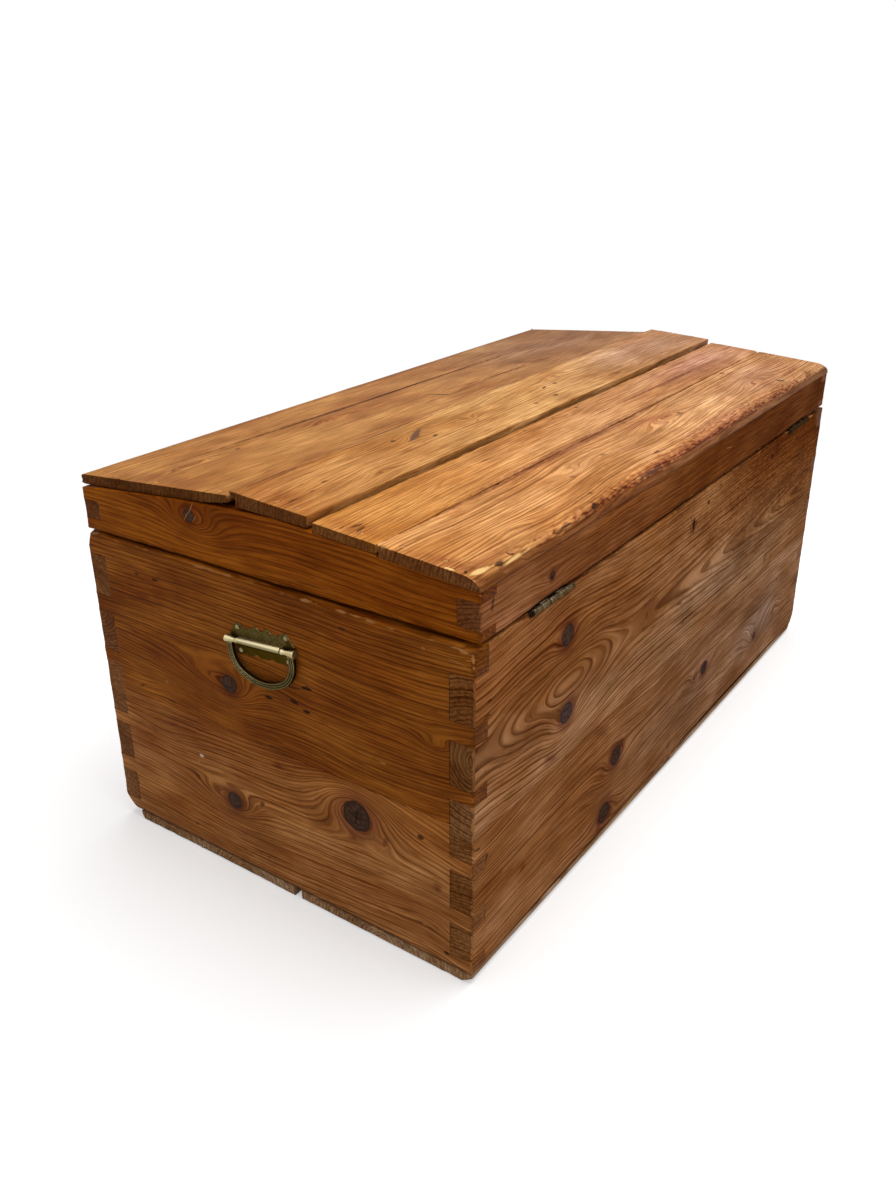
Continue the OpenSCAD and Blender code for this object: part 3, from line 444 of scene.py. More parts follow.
def pine(name, along, across, face, tone, heart, bow, ring=4.2, wander=12.0, contrast=0.85, seed=0, knots=(),
         swells=(), stains=(), marks=(), worn=1.0, roughness=0.4, slope=0.0, skew=0.0, shine=0.02, drift=(),
         rise=(), torn=(), end_tint=(0.62, 0.59, 0.50), edge_tint=()):
    """The material of one board. along and across are axes, face is (axis, place in mm, side), slope and skew tilt
    that face. heart is the pith's place across, and bow its depth along. drift and rise list (place, tint) along
    and across the board. torn are stains with a very ragged rim, on top of the bare wood."""
    material = bpy.data.materials.new(name)
    tree = stage_net(material)
    axis, normal = place_and_normal(tree)
    depth = calc(tree, "SUBTRACT", face[1], axis[face[0]])
    depth = calc(tree, "MULTIPLY_ADD", axis[across], slope, depth)
    depth = calc(tree, "MULTIPLY_ADD", axis[along], skew, depth)
    depth = calc(tree, "MULTIPLY", depth, face[2])
    place = add(tree, "ShaderNodeCombineXYZ", {0: axis[along], 1: axis[across], 2: depth}).outputs[0]
    pith_depth = pith_curve(tree, axis[along], bow)
    flow = dict.fromkeys(KNOT_SUMS, 0.0)
    for at, up, size, height, reach, low_side, high_side in knots:
        knot = use(tree, knot_group, {
            **flow, "Place": place, "Along": at, "Across": up, "Radius": size, "Height": height, "Reach": reach,
            "Low side": low_side, "High side": high_side})
        flow = {label: knot[label] for label in KNOT_SUMS}
    for at, up, height, reach, low_side, high_side in swells:
        flow["Swell"] = use(tree, swell_group, {
            "Place": place, "Swell": flow["Swell"], "Along": at, "Across": up, "Height": height, "Reach": reach,
            "Low side": low_side, "High side": high_side})["Swell"]
    end = ramp(tree, calc(tree, "ABSOLUTE", normal[along]), 0.6, 0.85)
    outside = ramp(tree, calc(tree, "MULTIPLY", normal[face[0]], face[2]), -0.85, -0.6)
    pale, deep, line = (blend(tree, outside, raw, varnished)
                        for raw, varnished in zip(tones_of(INSIDE), tones_of(tone)))
    wood = use(tree, board_group, {
        **flow, "Place": place, "End grain": end, "Heart": heart, "Bow": pith_depth, "Ring": ring, "Wander": wander,
        "Contrast": contrast, "Seed": (seed * 3.7, seed * 5.3, seed * 2.9), "Pale": pale, "Deep": deep,
        "Line": line, "End tint": end_tint})
    color = drifting(tree, wood["Color"], outside, axis[along], drift)
    color = drifting(tree, color, outside, axis[across], rise)
    if edge_tint:
        color = blend(tree, ramp(tree, normal[across], 0.45, 0.75), color, edge_tint, "MULTIPLY")
    color = with_stains(tree, color, place, stains, 1.3, 0.1)
    worn_wood = use(tree, worn_group, {
        "Color": color, "Place": place, "Amount": worn,
        "Arris": add(tree, "ShaderNodeAttribute", attribute_name="arris").outputs["Fac"]})
    color = with_stains(tree, worn_wood["Color"], place, torn, 2.4, 0.5)
    color, relief = with_marks(tree, color, wood["Relief"], place, marks)
    dull = calc(tree, "MULTIPLY_ADD", worn_wood["Bare"], 0.35, calc(tree, "ADD", wood["Gloss"], roughness))
    bump = add(tree, "ShaderNodeBump", {"Height": relief, "Strength": 1.0, "Distance": MM}).outputs[0]
    finish_net(tree, add(tree, "ShaderNodeBsdfPrincipled", {
        "Base Color": color, "Roughness": dull, "Normal": bump, "Specular IOR Level": shine}).outputs[0])
    return material


print("pine material ready")

# %% [markdown]
# ## Working a board
# The CAD board has sharp, straight arrises. An old board has none. So a copy is merged into a closed mesh, cut
# across its length and width so that there is something to bend, marked where its outer arrises are, knocked in
# along them with a noise texture, and bevelled. The joint edges get a much finer bevel, so the joints stay tight.

# %% Copy and slice
RIM = 4 * MM


def only(piece):
    """Selects one piece, and nothing else."""
    bpy.ops.object.select_all(action="DESELECT")
    piece.select_set(True)
    bpy.context.view_layer.objects.active = piece


def merged_copy(node):
    """A closed, editable copy of a CAD node."""
    piece = bpy.data.objects.new("worn_" + node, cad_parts[node].data.copy())
    bpy.context.collection.objects.link(piece)
    only(piece)
    bpy.ops.object.mode_set(mode="EDIT")
    bpy.ops.mesh.select_all(action="SELECT")
    bpy.ops.mesh.remove_doubles(threshold=1e-6)
    bpy.ops.mesh.dissolve_limited(angle_limit=math.radians(1))
    bpy.ops.mesh.customdata_custom_splitnormals_clear()
    bpy.ops.object.mode_set(mode="OBJECT")
    return piece


def slice_board(piece, steps, draw):
    """Cuts the mesh by planes: at uneven steps along each axis, and a few millimetres inside each outer face."""
    corners = [Vector(corner) for corner in piece.bound_box]
    bpy.ops.object.mode_set(mode="EDIT")
    for axis, step in enumerate(steps):
        low, high = min(c[axis] for c in corners), max(c[axis] for c in corners)
        places = [low + RIM, high - RIM]
        at = low + RIM + step * draw.uniform(0.5, 1)
        while at < high - RIM - 0.3 * step:
            places.append(at)
            at += step * draw.uniform(0.7, 1.3)
        for at in places:
            middle, across = Vector(), Vector()
            middle[axis], across[axis] = at, 1
            bpy.ops.mesh.select_all(action="SELECT")
            bpy.ops.mesh.bisect(plane_co=middle, plane_no=across)
    bpy.ops.object.mode_set(mode="OBJECT")


print("copy and slice tools ready")

# %% [markdown]
# A crack is a slot: its profile is extruded from point to point, resized on the way, and cut out of the board.
# A heavy knock moves the surface round one point.

# %% Cracks and knocks
def cut_crack(piece, path):
    """Cuts a slot along a path of (x, y, z, size in y, size in z), in millimetres: a profile, extruded and resized."""
    (x, y, z, wide, high), *rest = path
    bpy.ops.object.select_all(action="DESELECT")
    bpy.ops.mesh.primitive_plane_add(size=MM, location=(x * MM, y * MM, z * MM), rotation=(0, math.pi / 2, 0))
    bpy.ops.object.transform_apply(location=True, rotation=True, scale=True)
    cutter = bpy.context.object
    bpy.ops.object.mode_set(mode="EDIT")
    bpy.ops.mesh.select_all(action="SELECT")
    bpy.ops.transform.resize(value=(1, wide, high))
    for next_x, next_y, next_z, next_wide, next_high in rest:
        step = ((next_x - x) * MM, (next_y - y) * MM, (next_z - z) * MM)
        bpy.ops.mesh.extrude_region_move(TRANSFORM_OT_translate={"value": step})
        bpy.ops.transform.resize(value=(1, next_wide / wide, next_high / high))
        x, y, z, wide, high = next_x, next_y, next_z, next_wide, next_high
    bpy.ops.mesh.select_all(action="SELECT")
    bpy.ops.mesh.normals_make_consistent(inside=False)
    bpy.ops.object.mode_set(mode="OBJECT")
    only(piece)
    cut = piece.modifiers.new("crack", "BOOLEAN")
    cut.operation = "DIFFERENCE"
    cut.solver = "EXACT"
    cut.object = cutter
    before = len(piece.data.polygons)
    bpy.ops.object.modifier_apply(modifier="crack")
    bpy.data.objects.remove(cutter)
    print(f"crack in {piece.name}: {len(piece.data.polygons) - before} faces more")


def push_in(piece, at, shift, reach):
    """Moves the surface round a point, and less and less out to reach: a proportional move, in millimetres."""
    at = Vector(at) * MM
    nearest = min(piece.data.vertices, key=lambda vertex: (vertex.co - at).length).index
    only(piece)
    bpy.ops.object.mode_set(mode="EDIT")
    bpy.ops.mesh.select_mode(type="VERT")
    bpy.ops.mesh.select_all(action="DESELECT")
    bpy.ops.object.mode_set(mode="OBJECT")
    piece.data.vertices[nearest].select = True
    bpy.ops.object.mode_set(mode="EDIT")
    bpy.ops.transform.translate(value=Vector(shift) * MM, use_proportional_edit=True,
                                proportional_edit_falloff="SMOOTH", proportional_size=reach * MM)
    bpy.ops.object.mode_set(mode="OBJECT")


print("crack and knock tools ready")

# %% [markdown]
# Two noise textures wear the boards: a coarse one makes their faces a little hollow, a fine one bites into the
# arrises. Each sharp edge gets a bevel weight, and the outer arrises go into a group that drives the wear.

# %% Arrises
noise = bpy.data.textures.new("knocks", "CLOUDS")
noise.noise_scale = 0.013
noise.noise_depth = 2
noise.contrast = 2.2
noise.intensity = 0.72
hollows = bpy.data.textures.new("hollows", "CLOUDS")
hollows.noise_scale = 0.11
ARRIS_ANGLE, SMOOTH_ANGLE = math.radians(32), math.radians(40)


def displace(piece, texture, depth, group=""):
    """Pushes the surface inwards, by up to depth."""
    push = piece.modifiers.new("push", "DISPLACE")
    push.texture = texture
    push.mid_level = 0
    push.strength = -depth
    push.vertex_group = group
    bpy.ops.object.modifier_apply(modifier="push")


def at_foot_corner(point):
    """Tells whether a point lies near one of the chest's lowest corners, where the knocks are deepest."""
    return point.z < 50 * MM and abs(point.x) > 440 * MM and abs(point.y) > 220 * MM


def mark_arrises(piece, on_outside, chips, round_arris, round_joint):
    """Gives each sharp edge its bevel weight, and collects the outer arrises in a group, fully where they chipped."""
    mesh = piece.data
    group = piece.vertex_groups.new(name="arris")
    work = bmesh.new()
    work.from_mesh(mesh)
    weight = work.edges.layers.float.new("bevel_weight_edge")
    worn = {}
    for edge in work.edges:
        if len(edge.link_faces) == 2 and edge.calc_face_angle() > ARRIS_ANGLE:
            middle = (edge.verts[0].co + edge.verts[1].co) / 2
            if on_outside(middle):
                edge[weight] = 0.15 if at_foot_corner(middle) else 1.0
                for vert in edge.verts:
                    chipped = any(all(low <= vert.co[n] / MM <= high for n, (low, high) in enumerate(zip(*box)))
                                  for box in chips)
                    worn[vert.index] = 1.0 if chipped else 0.5
            else:
                edge[weight] = round_joint / round_arris
    work.to_mesh(mesh)
    work.free()
    for index, share in worn.items():
        group.add([index], share, "REPLACE")
    return len(worn)


def finish_arrises(piece, round_arris, knock, undulate):
    """Knocks the arrises in, bevels every marked edge and stores the arris mask for the material."""
    displace(piece, hollows, undulate)
    displace(piece, noise, knock, "arris")
    bevel = piece.modifiers.new("ease", "BEVEL")
    bevel.width = round_arris
    bevel.segments = 3
    bevel.limit_method = "WEIGHT"
    bevel.use_clamp_overlap = False
    bpy.ops.object.modifier_apply(modifier="ease")
    mesh = piece.data
    near = [max((part.weight for part in vert.groups), default=0.0) for vert in mesh.vertices]
    piece.vertex_groups.clear()
    mesh.attributes.new("arris", "FLOAT", "POINT").data.foreach_set("value", near)
    bpy.ops.object.shade_smooth_by_angle(angle=SMOOTH_ANGLE)


print("arris tools ready")

# %% [markdown]
# The last tool works one board from start to end, keeps it inside the box of its CAD node, and puts it in the
# node's place.

# %% One board
def settle(piece, node, body, material):
    """Gives a finished piece its material and its body, in place of its CAD node."""
    piece.data.materials.clear()
    piece.data.materials.append(material)
    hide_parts(node)
    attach(piece, body)


def board(node, body, material, steps, outside, chips=(), cracks=(), round_arris=2.2, round_joint=0.3,
          knock=1.7, undulate=0.7):
    """One finished board in place of its CAD node. chips are boxes, in millimetres, with heavier knocks."""
    draw = random.Random(node)
    piece = merged_copy(node)
    for path in cracks:
        cut_crack(piece, path)
    slice_board(piece, [step * MM for step in steps], draw)
    found = mark_arrises(piece, outside, chips, round_arris, round_joint)
    finish_arrises(piece, round_arris * MM, knock * MM, undulate * MM)
    low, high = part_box(node)
    for vertex in piece.data.vertices:
        vertex.co = [min(max(place, start), end) for place, start, end in zip(vertex.co, low, high)]
    settle(piece, node, body, material)
    print(f"{piece.name}: {found} arris points, {len(piece.data.polygons)} faces")
    return piece


NEAR = 0.6 * MM
case_low, case_high = Vector((-0.481, -0.255, 0.013)), Vector((0.481, 0.255, 0.376))


def outer_arris_of(low, high):
    """Tells whether a point lies where two outer faces of a box meet."""
    def test(point):
        return sum(min(abs(point[n] - low[n]), abs(point[n] - high[n])) < NEAR for n in range(3)) >= 2
    return test


case_arris = outer_arris_of(case_low, case_high)
print("board tools ready")

# %% [markdown]
# ## The case
# Eight boards, two to a wall. Each material is made from what the board shows, with the lists that the pine
# function explains. The tints below are used again and again.

# %% Case materials
RED_STAIN = (0.80, 0.62, 0.50)
PURPLE = (0.50, 0.36, 0.36)
AMBER = (1.30, 1.28, 1.05)
YELLOW = (1.30, 1.55, 1.9)
# PAINTED_SHEEN is painted reflection: a pale bluish tint that stands for the grey sheen grazing light gives far parts
# of the boards.
PAINTED_SHEEN = (0.86, 1.05, 1.45)
END_RED, END_BROWN = (0.236, 0.063, 0.0055), (0.318, 0.112, 0.027)
BACK_RED, BACK_BROWN = (0.284, 0.097, 0.0258), (0.298, 0.113, 0.034)
pines = {}
pines["right_end_upper_board"] = pine(
    "pine_right_end_upper", "Y", "Z", ("X", 481, 1), END_RED, heart=40, seed=1,
    bow=[(-255, 20), (-100, 60), (40, 30), (150, 60), (255, 20)], contrast=1.0,
    knots=[(-52, 247.5, 11, 38, 28, 3.6, 1.5)],
    swells=[(215, 267, 14, 14, 2.4, 2.4), (60, 262, 8, 22, 2.4, 3), (-150, 205, -7, 16, 3, 3)],
    stains=[(-170, 330, 70, 36, 10, RED_STAIN, 0.7), (-209, 291, 24, 9, 0, YELLOW, 0.7),
        (150, 318, 100, 46, 0, AMBER, 0.45), (-160, 319, 7, 5, 0, YELLOW, 0.7), (-158, 331, 6, 3, 0, YELLOW, 0.6),
        (83, 344, 8, 14, 0, YELLOW, 0.5), (-225, 230, 26, 40, 0, RED_STAIN, 0.5),
        (225, 225, 24, 34, 0, PURPLE, 0.25)],
    marks=[(4.7, 250, 7, 2.6, 0, BLACK, 0.95, 0.7), (58, 277.7, 9, 2.6, 4, BLACK, 0.9, 0.6),
        (38, 273, 14, 1.6, 5, BLACK, 0.7, 0.4), (40, 256.5, 8, 2.6, -12, BLACK, 0.9, 0.7),
        (56, 250.5, 6, 2.3, 0, BLACK, 0.95, 0.6), (-150, 342, 6, 2.2, 10, BLACK, 0.75, 0.5),
        (-179, 342, 4, 2, 0, BLACK, 0.7, 0.4), (-148, 195, 9, 1.6, -4, BLACK, 0.7, 0.4),
        (-195, 200, 6, 1.6, 30, GRIME, 0.6, 0.3), (151, 225.7, 4, 1.6, 0, BARE_WOOD, 0.7, 0.2),
        (-152, 218, 4, 3, 0, BARE_WOOD, 0.5, 0.2), (201, 365, 3, 2, 0, BARE_WOOD, 0.8, 0.3),
        (108, 358, 5, 2, 0, GRIME, 0.8, 0.4), (238, 362, 13, 0.8, -8, BARE_WOOD, 0.7, 0.2),
        (244, 358, 8, 0.8, 5, BARE_WOOD, 0.6, 0.2), (140, 229, 60, 0.8, -3, GRIME, 0.5, 0.3),
        (6, 190.5, 9, 1.2, 0, BLACK, 0.7, 0.4)])
pines["right_end_lower_board"] = pine(
    "pine_right_end_lower", "Y", "Z", ("X", 481, 1), END_BROWN, heart=-150, seed=2,
    bow=[(-255, 60), (-140, 20), (20, 60), (190, 30), (255, 60)],
    rise=[(13, (1.0, 1.0, 1.0)), (110, (1.05, 1.08, 1.12)), (187, (0.93, 0.82, 0.6))], contrast=1.0,
    knots=[(-62, 95.7, 11, 30, 24, 3.2, 1.6), (114.7, 148.3, 18.5, -48, 38, 1.5, 1.3)],
    swells=[(150, 128, -8, 12, 1.4, 1.4), (-170, 150, 8, 18, 3.6, 3.6), (200, 60, -8, 20, 3, 3)],
    stains=[(-170, 60, 110, 50, 0, AMBER, 0.45), (-33, 26, 34, 11, 0, YELLOW, 0.9),
        (60, 20, 150, 10, 0, YELLOW, 0.35), (200, 190, 60, 50, 0, AMBER, 0.4), (20, 110, 70, 40, 0, AMBER, 0.3),
        (214, 105, 9, 7, 30, PURPLE, 0.8), (11, 168, 13, 5, 10, PURPLE, 0.8), (-200, 130, 40, 30, 0, RED_STAIN, 0.7),
        (-160, 50, 60, 12, 0, RED_STAIN, 0.5), (150, 60, 80, 30, 0, RED_STAIN, 0.4)],
    marks=[(114.7, 148, 15, 1.3, 75, BLACK, 0.95, 1.2), (113, 147, 14, 1.2, -15, BLACK, 0.95, 1.2),
        (-230, 55, 4, 3, 0, BLACK, 0.8, 0.6), (225, 27, 4, 3, 0, BLACK, 0.8, 0.6),
        (-130, 35, 3, 2.2, 0, BLACK, 0.7, 0.4), (-115, 126.7, 5, 1.4, 40, BARE_WOOD, 0.9, 0.3),
        (-108.7, 137, 4, 2.5, 0, RED_STAIN, 0.8, 0.3), (194.7, 157, 5, 3.5, 0, GRIME, 0.9, 0.5),
        (-18.7, 108, 5, 3.5, 30, (0.12, 0.03, 0.01), 0.8, 0.3), (151, 131.7, 4, 9, -20, GRIME, 0.5, 0.3),
        (-15, 38, 3, 1.6, 0, BLACK, 0.7, 0.3), (52, 26, 5, 3, 0, BARE_WOOD, 0.6, 0.2),
        (198, 50, 3, 2, 0, BARE_WOOD, 0.6, 0.2), (0, 13.5, 330, 2.2, 0, BLACK, 0.9, 0.5)])
print(len(pines), "materials for the right end")

# %% [markdown]
# The left end is hidden in the photograph. It gets knots and stains of its own, in the same tones.

# %% Left end materials
pines["left_end_upper_board"] = pine(
    "pine_left_end_upper", "Y", "Z", ("X", -481, -1), END_RED, heart=30, seed=3,
    bow=[(-255, 50), (-90, 20), (60, 55), (255, 20)],
    knots=[(64, 258, 11, 34, 26, 1.6, 3.2), (-170, 315, 7, -18, 16, 2.4, 1.6)],
    swells=[(-60, 230, 11, 14, 2.4, 2.4)],
    stains=[(120, 330, 90, 40, 0, RED_STAIN, 0.6), (-120, 210, 120, 20, 0, AMBER, 0.5)],
    marks=[(-20, 268, 8, 2.4, 6, BLACK, 0.8, 0.5), (150, 340, 5, 2, 0, BLACK, 0.7, 0.4)])
pines["left_end_lower_board"] = pine(
    "pine_left_end_lower", "Y", "Z", ("X", -481, -1), END_BROWN, heart=-140, seed=4,
    bow=[(-255, 30), (-120, 60), (30, 20), (255, 60)],
    knots=[(-118, 102, 13, 36, 27, 1.7, 3.0), (150, 80, 9, -24, 20, 2.6, 1.5)],
    stains=[(40, 30, 120, 14, 0, YELLOW, 0.6), (180, 130, 60, 40, 0, RED_STAIN, 0.6)],
    marks=[(60, 120, 4, 2.5, 0, GRIME, 0.8, 0.5)])
print(len(pines), "materials so far")

# %% [markdown]
# The hinge side's tone drifts along the boards: the upper board is darker towards the far end, and the tints that
# raise the blue paint the grey sheen that grazing light gives parts of both boards. Its arches and its long eye come
# from how the pith wanders behind the face.

# %% Hinge side materials
pines["back_upper_board"] = pine(
    "pine_back_upper", "X", "Z", ("Y", 255, 1), BACK_RED, heart=266, seed=5, wander=9, shine=NO_SHINE,
    drift=[(-481, (0.82, 0.8, 0.72)), (0, (0.98, 1.06, 1.17)), (481, (1.0, 1.0, 1.0))],
    rise=[(175, (1.07, 1.3, 1.8)), (230, (1.07, 1.3, 1.8)), (340, (1.0, 1.0, 1.0)), (376, (1.0, 1.0, 1.0))],
    contrast=1.0,
    bow=[(-481, 12), (-409, 16), (-314, 20.5), (-239, 25), (-154, 29), (-64, 33), (0, 35.5), (100, 38), (166, 38),
        (246, 27), (306, 20), (363, 28), (400, 32), (481, 40)],
    knots=[(311, 322, 12.5, 12, 22, 1.8, 1.8), (306, 230, 12.5, -12, 22, 1.8, 1.8)],
    stains=[(334, 189, 21, 9, 22, PURPLE, 0.85), (5, 339, 16, 16, 0, (0.35, 0.3, 0.3), 0.9),
        (4, 226, 38, 26, 0, (0.66, 0.68, 0.72), 0.8), (-440, 400, 560, 230, 0, (0.475, 0.29, 0.05), 1.0),
        (-291, 192, 8, 15, 20, (0.5, 0.38, 0.36), 0.85), (-319, 186, 6, 9, 20, (0.6, 0.48, 0.46), 0.7),
        (-404, 197, 8, 5, 0, (0.6, 0.28, 0.22), 0.8), (335, 352, 55, 30, 0, PURPLE, 0.4),
        (-180, 225, 220, 46, 0, PAINTED_SHEEN, 0.6), (300, 280, 150, 24, 0, AMBER, 0.4)],
    marks=[(-39, 356, 4, 3, 0, BLACK, 0.9, 0.4), (-264, 355, 10, 3.4, 0, BLACK, 0.8, 0.5),
        (-123, 314, 6, 3, 0, BARE_WOOD, 0.9, 0.4), (-88, 309.5, 36, 0.9, 7, BARE_WOOD, 0.8, 0.2),
        (455, 317, 5, 1.4, 0, BLACK, 0.8, 0.3), (458, 303, 6, 1.2, 8, BLACK, 0.7, 0.3),
        (-211, 189, 14, 1.1, 4, BLACK, 0.8, 0.4), (-60, 265, 9, 2.2, -8, BLACK, 0.6, 0.3),
        (26, 244, 12, 1.6, 10, BLACK, 0.6, 0.4), (-6, 213, 20, 1.3, 5, BLACK, 0.6, 0.4),
        # The two long black marks at 373 mm are painted shadow in and round the hinge pockets.
        (160, 254, 14, 1.4, 4, BLACK, 0.45, 0.3), (344, 373, 46, 4.5, 0, BLACK, 0.9, 0.0),
        (-363, 373, 46, 4.5, 0, BLACK, 0.9, 0.0), (11, 341, 1.2, 9, -30, BARE_WOOD, 0.5, 0.2),
        (420, 250, 16, 0.8, 14, GRIME, 0.5, 0.3)])
pines["back_lower_board"] = pine(
    "pine_back_lower", "X", "Z", ("Y", 255, 1), BACK_BROWN, heart=-160, seed=6, wander=22, contrast=1.0, shine=NO_SHINE,
    drift=[(-481, (1.07, 1.31, 1.95)), (-60, (0.73, 0.775, 0.95)), (481, (1.0, 1.0, 1.0))],
    bow=[(-481, 30), (-286, 60), (-86, 20), (120, 60), (300, 20), (481, 50)],
    knots=[(176, 107, 13, 18, 24, 1.9, 2.2), (198, 39, 14, -20, 24, 2.1, 1.9), (-86, 105, 10, 18, 21, 2.3, 2.3),
        (-286, 70, 4, 32, 36, 1.5, 1.5)],
    swells=[(212, 73, 14, 28, 2.4, 2.7), (-54, 102, 12, 12, 1.3, 1.3), (-180, 50, 12, 25, 3, 3),
        (-370, 90, -12, 20, 1.7, 1.7)],
    stains=[(218, 160, 30, 13, 30, PURPLE, 0.55), (-300, 90, 150, 70, 0, PAINTED_SHEEN, 0.8),
        (0, 80, 200, 50, 0, PAINTED_SHEEN, 0.35), (-286, 70, 25, 22, 0, (0.66, 0.56, 0.54), 0.7),
        (-54, 102, 13, 9, 20, (0.55, 0.42, 0.4), 0.7), (16, 36, 10, 8, 0, (0.5, 0.4, 0.4), 0.7),
        (420, 60, 70, 60, 0, (1.0, 1.08, 1.3), 0.5), (-420, 45, 50, 30, 0, (0.75, 0.7, 0.7), 0.6),
        (386, 85, 9, 7, 0, (0.62, 0.42, 0.38), 0.8)],
    marks=[(395, 60, 1.5, 16, -8, BARE_WOOD, 0.8, 0.3), (345, 50, 1.2, 14, 4, BARE_WOOD, 0.6, 0.3),
        (412, 30, 1.2, 10, 20, BARE_WOOD, 0.6, 0.3), (-200, 18, 260, 2.6, 0.4, BLACK, 0.95, 0.6),
        (230, 17, 260, 2.2, -0.4, GRIME, 0.8, 0.4), (-364, 132, 10, 1.6, -12, BLACK, 0.8, 0.4),
        (-366, 77, 3, 11, 15, GRIME, 0.7, 0.4), (-286, 66, 9, 7, 0, GRIME, 0.45, 0.8),
        (472, 163, 7, 1.4, 10, BLACK, 0.8, 0.3), (459, 143, 9, 2.6, -30, BLACK, 0.8, 0.5),
        (-20, 100, 9, 1.2, 10, GRIME, 0.5, 0.3), (-462, 92, 8, 14, 0, (0.1, 0.06, 0.045), 0.7, 1.2)])
print(len(pines), "materials so far")

# %% [markdown]
# The front is hidden too, and is taken as the hinge side's twin, with the same painted sheen.

# %% Front materials
pines["front_upper_board"] = pine(
    "pine_front_upper", "X", "Z", ("Y", -255, -1), BACK_RED, heart=290, seed=7, wander=14,
    bow=[(-481, 38), (-320, 24), (-250, 18), (-120, 30), (60, 34), (300, 22), (481, 14)],
    knots=[(-252, 330, 12, 12, 22, 1.8, 1.8), (148, 250, 11, -12, 21, 1.8, 1.8)],
    stains=[(-100, 220, 200, 40, 0, PAINTED_SHEEN, 0.5), (330, 320, 120, 50, 0, RED_STAIN, 0.6)],
    marks=[(60, 330, 8, 2.4, 4, BLACK, 0.8, 0.5), (-400, 240, 14, 1.2, 3, GRIME, 0.7, 0.4)])
pines["front_lower_board"] = pine(
    "pine_front_lower", "X", "Z", ("Y", -255, -1), BACK_BROWN, heart=-150, seed=8, wander=22,
    bow=[(-481, 20), (-300, 60), (-120, 20), (60, 60), (270, 20), (481, 50)],
    knots=[(-122, 88, 14, 30, 28, 1.9, 2.6), (268, 72, 11, -24, 23, 2.3, 1.6), (-398, 118, 8, 18, 17, 1.6, 2.3)],
    stains=[(100, 50, 220, 30, 0, PAINTED_SHEEN, 0.5), (-300, 40, 120, 30, 0, PURPLE, 0.35)],
    marks=[(-40, 22, 200, 1.1, 0, GRIME, 0.6, 0.4), (180, 140, 12, 1.4, -4, BLACK, 0.7, 0.4)])
print(len(pines), "case materials")

# %% [markdown]
# Each chip is a box, given by two corners in millimetres: inside it the arrises are knocked in more. The crack is a
# list of points with the slot's size at each. Four corners also took a heavy knock.

# %% Case boards
chips = {
    "right_end_upper_board": [((470, -91, 370), (490, -30, 380)), ((470, 57, 370), (490, 166, 380)),
        ((470, 228, 350), (490, 260, 380)), ((470, -260, 350), (490, -235, 380))],
    "back_upper_board": [((380, 250, 370), (480, 260, 380)), ((-470, 250, 370), (-300, 260, 380)),
        ((478, 240, 190), (490, 260, 240))],
    "back_lower_board": [((478, 240, 0), (490, 260, 80)), ((-490, 250, 0), (-440, 260, 60))],
    "right_end_lower_board": [((470, 200, 0), (490, 260, 60)), ((470, -260, 0), (490, -200, 60))],
}
cracks = {
    "back_lower_board": [[(-390, 255, 62, 4, 0.2), (-405, 255, 62.4, 9, 1.1), (-440, 255, 63, 10, 1.5),
        (-456, 255, 63.4, 4, 0.3)]],
}
finished = {}
for name, material in pines.items():
    steps = (9, 6, 8) if "end" in name else (6, 9, 8)
    finished[name] = board(name, "case", material, steps, case_arris, chips.get(name, ()),
                           cracks.get(name, ()))
push_in(finished["right_end_upper_board"], (481, 255, 376), (-3.5, -3.0, -4.5), 16)
push_in(finished["right_end_upper_board"], (481, -255, 376), (-2.0, 2.0, -3.0), 14)
push_in(finished["back_upper_board"], (-481, 255, 376), (3.0, -2.0, -4.0), 16)
push_in(finished["back_lower_board"], (481, 255, 30), (-2.5, -2.0, 0), 20)

# %% [markdown]
# ## The bottom
# Three raw boards nailed on from below. They were never varnished, and they have gone grey.

# %% Bottom boards
RAW_GREY = (0.33, 0.190, 0.105)
bottom_low, bottom_high = Vector((-0.481, -0.231, 0.0)), Vector((0.481, 0.255, 0.013))
for number, name in enumerate(("bottom_board_front", "bottom_board_middle", "bottom_board_back")):
    low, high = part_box(name)
    middle = (low.y + high.y) / 2 / MM
    raw = pine("pine_" + name, "X", "Y", ("Z", 0, -1), RAW_GREY, heart=middle, seed=11 + number, ring=4.6,
               bow=[(-481, 22 + 9 * number), (-100, 44), (200, 18), (481, 40)], roughness=0.7, worn=0.5,
               knots=[(-150 + 190 * number, middle + 12, 10, 14, 14, 2, 2)], end_tint=(1.05, 0.98, 0.82))
    board(name, "case", raw, (8, 8, 6), outer_arris_of(bottom_low, bottom_high))

# %% [markdown]
# ## The lid
# A frame of four rails carries four planks. The planks are honey-coloured where light and hands have reached them.

# %% Lid rails
RAIL_RED, RAIL_DARK = (0.245, 0.057, 0.0025), (0.261, 0.088, 0.029)
RIGHT_RAIL_SKEW = -7 / 510
rails = {}
rails["lid_back_rail"] = pine(
    "pine_lid_back_rail", "X", "Z", ("Y", 255, 1), RAIL_DARK, heart=300, ring=4.6, seed=21, wander=10, shine=NO_SHINE,
    drift=[(-481, (0.46, 0.356, 0.208)), (0, (0.55, 0.42, 0.19)), (481, (1.0, 1.0, 1.0))],
    bow=[(-481, 20), (0, 40), (481, 20)],
    knots=[(348, 400, 4.5, 6, 9, 3, 3)],
    stains=[(200, 420, 160, 14, 0, AMBER, 0.6)],
    marks=[(452, 412, 3, 10, 10, BLACK, 0.6, 0.4), (-90, 412, 12, 1.0, 8, BARE_WOOD, 0.7, 0.3),
        # The two long black marks at 381 mm are painted shadow round the hinge pockets.
        (-280, 408, 5, 3, 0, (0.12, 0.05, 0.03), 0.7, 0.3), (345, 381, 46, 2.6, 0, BLACK, 0.8, 0.0),
        (-363, 381, 46, 2.6, 0, BLACK, 0.8, 0.0)])
rails["lid_front_rail"] = pine(
    "pine_lid_front_rail", "X", "Z", ("Y", -255, -1), RAIL_DARK, heart=280, ring=4.6, seed=22, wander=12,
    drift=[(-481, (0.8, 0.7, 0.55)), (481, (0.8, 0.7, 0.55))],
    bow=[(-481, 34), (0, 22), (481, 40)],
    knots=[(-120, 408, 5, 10, 10, 3, 3)])
